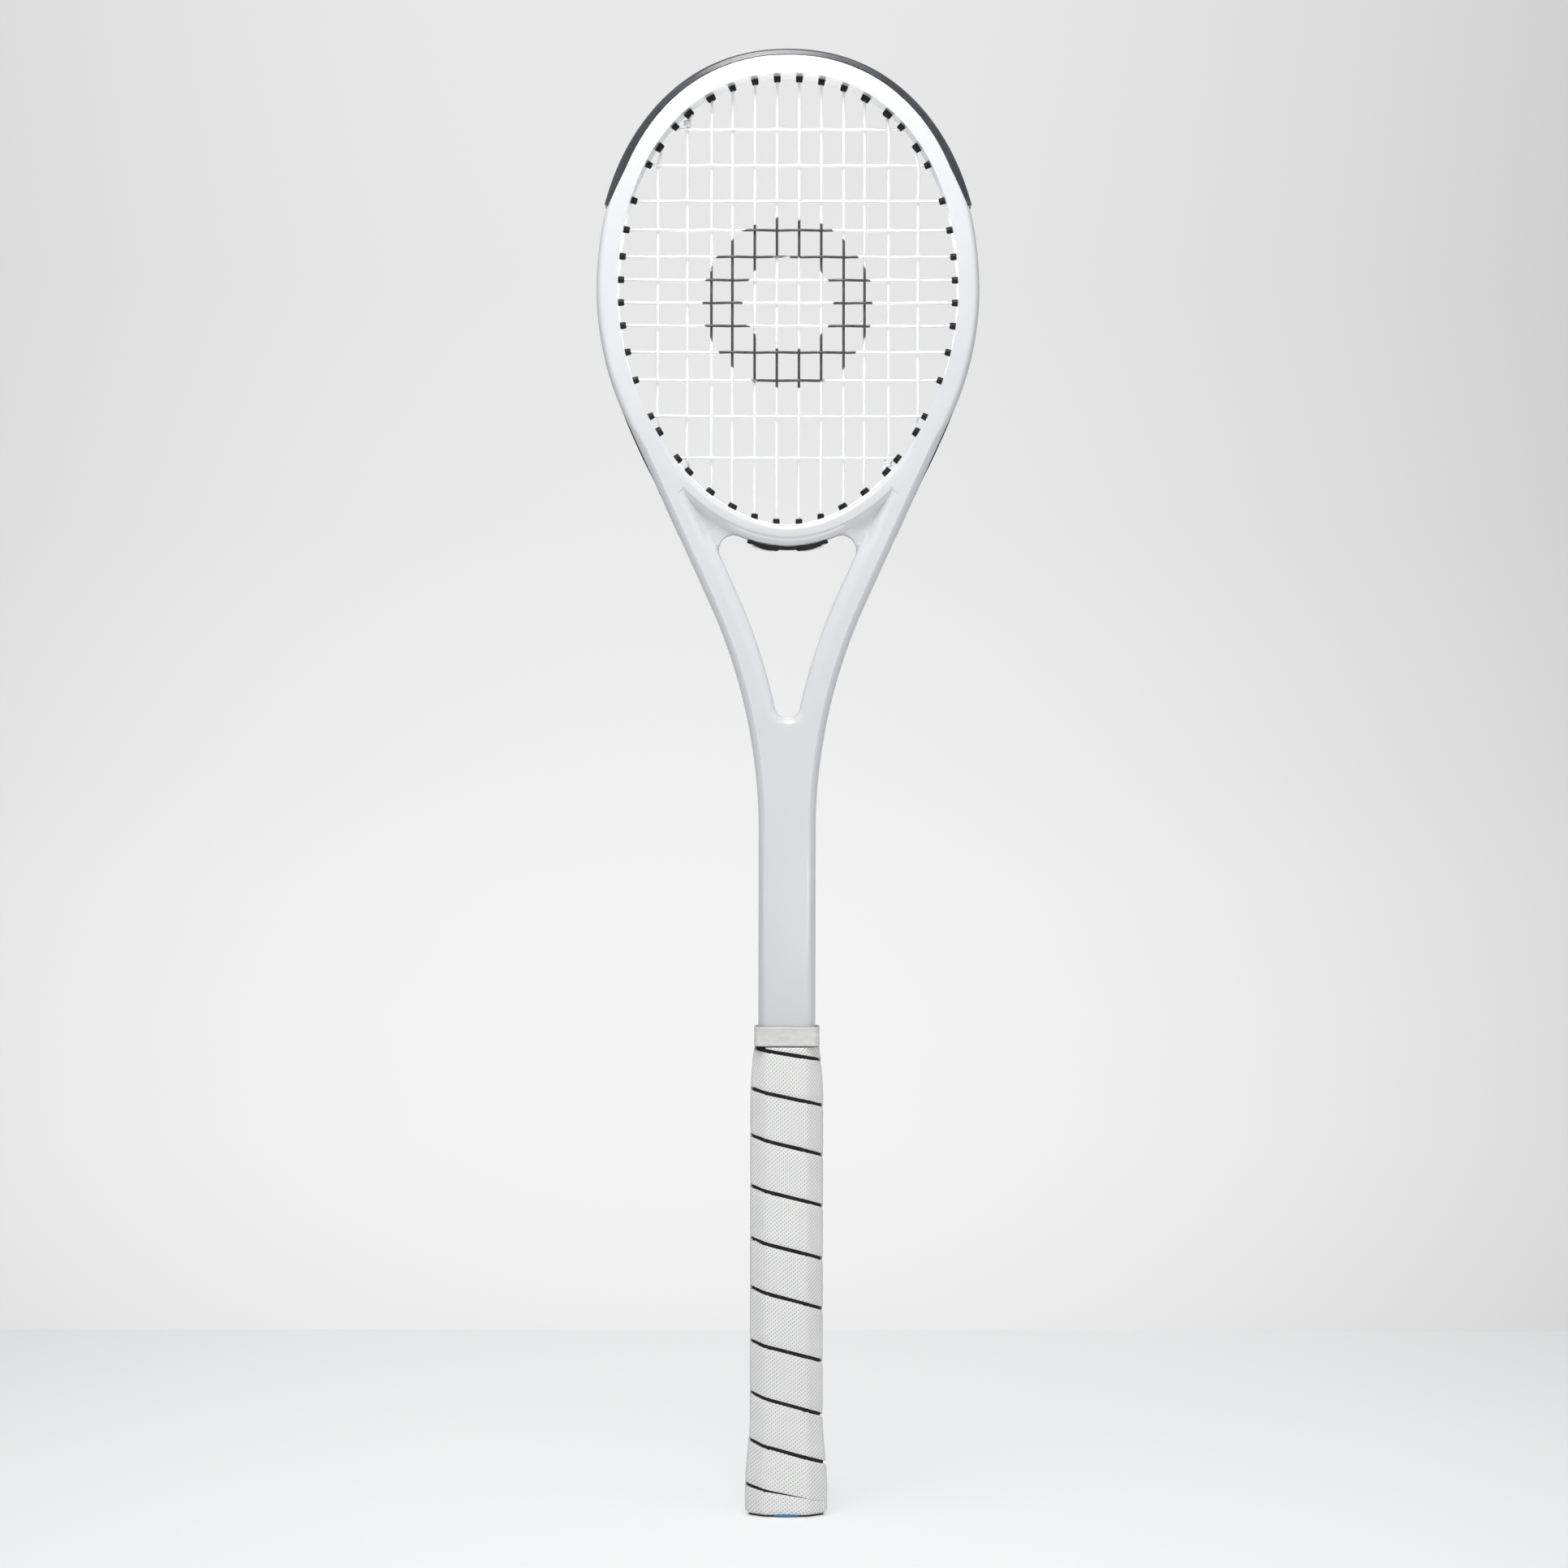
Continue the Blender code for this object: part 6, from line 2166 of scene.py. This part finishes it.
    def collar(self) -> Surface:
        """The collar: a softly waisted band carried round the shaft, its upper edge a flared lip.

        Its thickness is a waist with a bell curve at each end, brought down in an arc at both edges.

        Returns:
            The collar.
        """
        low = self.plan.handle_top + self.plan.gap
        high = low + self.collar_height
        wall = self.plan.gap * 2 + self.finishing
        t = np.linspace(0.0, 1.0, self.collar_points)
        (lip, lip_reach), (foot, foot_reach) = self.collar_lip, self.collar_foot
        edge, edge_reach = self.collar_edge
        belly = lip * np.exp(-((1 - t) / lip_reach) ** 2) + foot * np.exp(-(t / foot_reach) ** 2)
        belly = self.collar_waist + belly
        inward = 1 - np.clip(np.minimum(t, 1 - t) / edge_reach, 0, 1)
        soft = np.sqrt(np.clip(1 - inward**2, 0.0, 1.0))
        outside = np.column_stack([low + (high - low) * t, belly * (edge + (1 - edge) * soft)])[::-1]
        profile = [(low, 0.0), (high - self.plan.gap, 0.0), (high, self.collar_top_share), *outside]
        rings = [self.shaft_ring(z, wall + self.collar_wall * share) for z, share in profile]
        return carried(np.array(rings), closed=True)

    def finishing_band(self) -> Surface:
        """The thin tape over the step from handle to shaft.

        Returns:
            The band.
        """
        plan = self.plan
        low = plan.handle_top + plan.gap
        start, end = plan.handle_top + plan.core_start, plan.handle_top + plan.core_step
        heights = ((low, 1.0), (start, 1.0), (end, 0.0), (low + self.finishing_height, 0.0))
        rings = [self.shaft_ring(z, plan.gap, slim) for z, slim in heights]
        rings += [self.shaft_ring(z, plan.gap + self.finishing, slim) for z, slim in heights[::-1]]
        return carried(np.array(rings), closed=True)

    def cap(self) -> Surface:
        """The butt cap: a foot under the tape, a skirt inside it and a floor, on eight-sided rings.

        Returns:
            The cap.
        """
        skin = self.backing + self.tape.thick + 2 * self.plan.gap
        rings = [self.ring(z, inset) for z, inset in self.cap_foot]
        rings += [self.ring(z, skin) for z in self.cap_heights]
        bore = self.ring(self.cap_height, skin + self.cap_wall)
        rings += [bore, level(bore[:, :2], self.cap_floor)]
        return carried(np.array(rings))

    def door(self) -> Surface:
        """The end panel: a rounded rectangle with softened edges and a tongue out to the front and back.

        Returns:
            The panel with its tongue.
        """
        half, deep, corner = self.panel
        rings = []
        for z, inset in self.panel_rings:
            drawn_in = corner + max(0.0, inset - self.panel_round)
            radius = corner - min(inset, self.panel_round)
            quarter = rays(np.linspace(0, math.pi / 2, 7)) * radius + (half - drawn_in, deep - drawn_in)
            rings.append(level(both_halves(quarter), z))
        return merged(carried(np.array(rings)), self.tongue())

    def tongue(self) -> Surface:
        """A slim bar under the butt whose ends show below the tape at the front and back.

        Returns:
            The bar.
        """
        across = np.linspace(-self.tongue_half, self.tongue_half, 13)
        reach = self.size(self.panel_round)[1] - self.tongue_back
        bow = reach - self.tongue_bow * (across / self.tongue_half) ** 2
        edge = np.vstack([np.column_stack([across, -bow]), np.column_stack([across[::-1], bow[::-1]])])
        return carried(np.array([level(edge * share, z) for z, share in self.tongue_rings]))

    def build(self) -> None:
        """Makes and dresses the handle's pieces and the carried-over solids inside it."""
        inside = self.tape.thick + self.backing_gap
        heights = np.linspace(self.backing_bottom, self.plan.handle_top, 60)
        layer = self.sleeve(heights, inside, inside + self.backing)
        backing = merged(layer, self.sleeve(np.array(self.foot_heights), *self.foot_insets))
        felt, leather, rubber = BackingFelt().material(), GripLeather().material(), CollarRubber().material()
        film = moulded("finishing_film", (0.80, 0.80, 0.79))
        white = moulded("cap_plastic", (0.80, 0.80, 0.785), 0.32)
        blue = moulded("door_plastic", (0.03, 0.22, 0.42))
        dress("tape_backing", backing, felt, "felt", Body.RACKET, "grip_backing", sharp=40.0)
        dress("spiral_tape", self.ribbon(), leather, "tape", Body.RACKET, "grip_tape", sharp=60.0)
        band = self.finishing_band()
        dress("finishing_band", band, film, "finishing", Body.RACKET, "finishing_tape", sharp=40.0)
        dress("rolled_collar", self.collar(), rubber, "rubber", Body.COLLAR, "grip_collar", sharp=60.0)
        dress("butt_shell", self.cap(), white, "cap", Body.RACKET, "butt_cap")
        dress("butt_panel", self.door(), blue, "door", Body.RACKET, "butt_cap_door")
        self.dress_inside()

    def dress_inside(self) -> None:
        """Finishes for the solids kept from the frame: pallets and staples."""
        foam = moulded("pallet_foam", (0.24, 0.24, 0.25), 0.7)
        steel = moulded("staple_steel", (0.62, 0.62, 0.64), 0.3, 1.0)
        for name, material in (("handle_pallet", foam), ("butt_cap_staple", steel)):
            for end in ("front", "back"):
                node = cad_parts[f"{name}_{end}"]
                node.data.materials.clear()
                node.data.materials.append(material)


# Studio


@dataclass(frozen=True)
class Lamp:
    """A square area lamp aimed at a height above the butt."""

    name: str
    place: Place
    aim: float
    size: float
    power: float

    def build(self) -> None:
        """Makes the lamp."""
        data = bpy.data.lights.new(self.name, "AREA")
        data.shape, data.size, data.energy = "SQUARE", self.size, self.power
        item = bpy.data.objects.new(self.name, data)
        item.location = self.place
        way = Vector((0.0, 0.0, self.aim)) - Vector(self.place)
        item.rotation_euler = way.to_track_quat("-Z", "Y").to_euler()
        bpy.context.scene.collection.objects.link(item)


@dataclass
class Studio:
    """Floor, lamps, world and camera."""

    distance: float = 2.3
    height: float = 0.3418
    shift: float = -0.0015
    roll: float = -0.0016
    frame_width: float = 0.7358
    sensor: float = 36.0
    floor_half: float = 2.6
    floor_front: float = -2.9
    floor_back: float = 0.77
    floor_drop: float = 0.0002
    floor_points: int = 40
    floor_shades: tuple[Colour, Colour] = ((0.83, 0.83, 0.835), (0.85, 0.85, 0.855))
    floor_seen: Colour = (0.38, 0.38, 0.382)
    floor_glow: Colour = (0.96, 0.963, 0.968)
    floor_lift: float = 0.60
    floor_loss: float = 0.4
    floor_least: float = 0.2
    sky: float = 0.38
    sky_colour: tuple[float, ...] = (0.96, 0.975, 1.0, 1.0)
    horizon: float = -0.1113
    zenith: float = 0.16
    middle: float = -0.025
    side_loss: float = 6.4
    least: float = 0.75
    blue: float = 1.003
    surround: tuple[Pair, ...] = (
        (0.0, 0.845), (0.024, 0.863), (0.085, 0.888), (0.146, 0.905), (0.237, 0.908), (0.329, 0.898),
        (0.42, 0.868), (0.511, 0.847), (0.603, 0.822), (0.785, 0.803), (1.0, 0.812),
    )
    lamps: tuple[Lamp, ...] = (
        Lamp("top_key", (-0.12, -0.75, 1.35), 0.52, 0.5, 3.0),
        Lamp("sky_panel", (0.0, -0.35, 2.1), 0.6, 1.3, 6.6),
        Lamp("side_fill", (1.3, -1.2, 0.5), 0.3, 0.8, 2.0),
        Lamp("low_fill", (0.25, -0.9, 0.12), 0.2, 0.4, 1.7),
        Lamp("grip_fill", (-0.8, -0.7, 0.05), 0.1, 0.4, 1.5),
        Lamp("crown_lamp", (-0.06, -0.3, 0.92), 0.69, 0.2, 1.2),
        Lamp("ridge_lamp", (-0.08, -0.1, 1.15), 0.69, 0.3, 1.6),
        Lamp("under_fill", (0.0, 0.22, 0.57), 0.68, 0.12, 0.18),
    )

    def floor(self) -> None:
        """A pale sheet from in front of the camera to a straight far edge.

        The camera sees it glow, by an amount that falls with the square of the distance from the middle.
        """
        count = self.floor_points
        across = np.linspace(-self.floor_half, self.floor_half, count)
        across, along = np.meshgrid(across, np.linspace(self.floor_front, self.floor_back, count))
        points = np.stack([across, along, np.full_like(across, -self.floor_drop)], axis=-1).reshape(-1, 3)
        mesh = bpy.data.meshes.new("studio_floor")
        mesh.from_pydata(points.tolist(), [], grid_faces(count, count, False, False).tolist())
        made = bpy.data.objects.new("studio_floor", mesh)
        bpy.context.scene.collection.objects.link(made)
        g = Graph("floor_paper")
        seen = g.seen()
        base = g.ramp(g.noise(3.0, 2.0), (0.3, 0.7), self.floor_shades)
        off = g.maths("POWER", g.maths("SUBTRACT", g.parts()[0], self.middle), 2.0)
        left = g.maths("SUBTRACT", self.floor_lift, g.maths("MULTIPLY", off, self.floor_loss))
        mesh.materials.append(g.finish(
            Base_Color=g.mixed(seen, base, self.floor_seen), Roughness=0.9, Specular_IOR_Level=0.1,
            Emission_Color=self.floor_glow,
            Emission_Strength=g.maths("MULTIPLY", seen, g.maths("MAXIMUM", left, self.floor_least)),
        ))

    def world(self) -> None:
        """A pale surround that the camera sees, with a plainer light for the object.

        What the camera sees is brightest a little below the middle. It falls off to both sides with the
        square of the sideways direction.
        """
        world = bpy.data.worlds.new("studio_world")
        world.use_nodes = True
        bpy.context.scene.world = world
        g = Nodes(world.node_tree)
        x, _, z = g.parts("Generated")
        band = g.add("ShaderNodeMapRange")
        shade = g.add("ShaderNodeValToRGB")
        stops = shade.color_ramp.elements
        for place, value in self.surround:
            stop = stops[0] if place == 0.0 else stops[-1] if place == 1.0 else stops.new(place)
            stop.color = (value, value, self.blue * value, 1.0)
        off = g.maths("POWER", g.maths("SUBTRACT", x, self.middle), 2.0)
        share = g.maths("ADD", g.maths("MULTIPLY", off, -self.side_loss), 1.0)
        light, view = world.node_tree.nodes["Background"], g.add("ShaderNodeBackground")
        mix = g.add("ShaderNodeMixShader")
        for target, value in (
            (band.inputs["Value"], z), (band.inputs["From Min"], self.horizon),
            (band.inputs["From Max"], self.zenith), (shade.inputs["Fac"], band.outputs["Result"]),
            (light.inputs["Color"], self.sky_colour), (light.inputs["Strength"], self.sky),
            (view.inputs["Color"], shade.outputs["Color"]),
            (view.inputs["Strength"], g.maths("MAXIMUM", share, self.least)),
            (mix.inputs["Fac"], g.seen()),
            (mix.inputs[1], light.outputs[0]), (mix.inputs[2], view.outputs[0]),
            (world.node_tree.nodes["World Output"].inputs["Surface"], mix.outputs[0]),
        ):
            g.put(target, value)

    def camera(self) -> None:
        """A level camera in front whose frame is as wide as the photograph's at the racket."""
        data = bpy.data.cameras.new("studio_camera")
        data.sensor_width = self.sensor
        data.lens = self.sensor * self.distance / self.frame_width
        item = bpy.data.objects.new("studio_camera", data)
        item.location = (self.shift, -self.distance, self.height)
        item.rotation_euler = (math.pi / 2, self.roll, 0.0)
        bpy.context.scene.collection.objects.link(item)
        bpy.context.scene.camera = item

    def build(self) -> None:
        """Sets up the whole studio."""
        self.floor()
        self.world()
        for lamp in self.lamps:
            lamp.build()
        self.camera()
        bpy.context.scene.view_settings.view_transform = "Standard"


def main() -> None:
    """Builds the racket's pieces in order."""
    logging.basicConfig(level=logging.INFO, format="%(name)s: %(message)s")
    plan = Plan()
    Studio().build()
    Moulding(plan).build()
    stringing = Stringing(plan)
    Strips(plan, stringing).build()
    stringing.build()
    Handle(plan).build()
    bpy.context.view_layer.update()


if __name__ == "__main__":
    main()
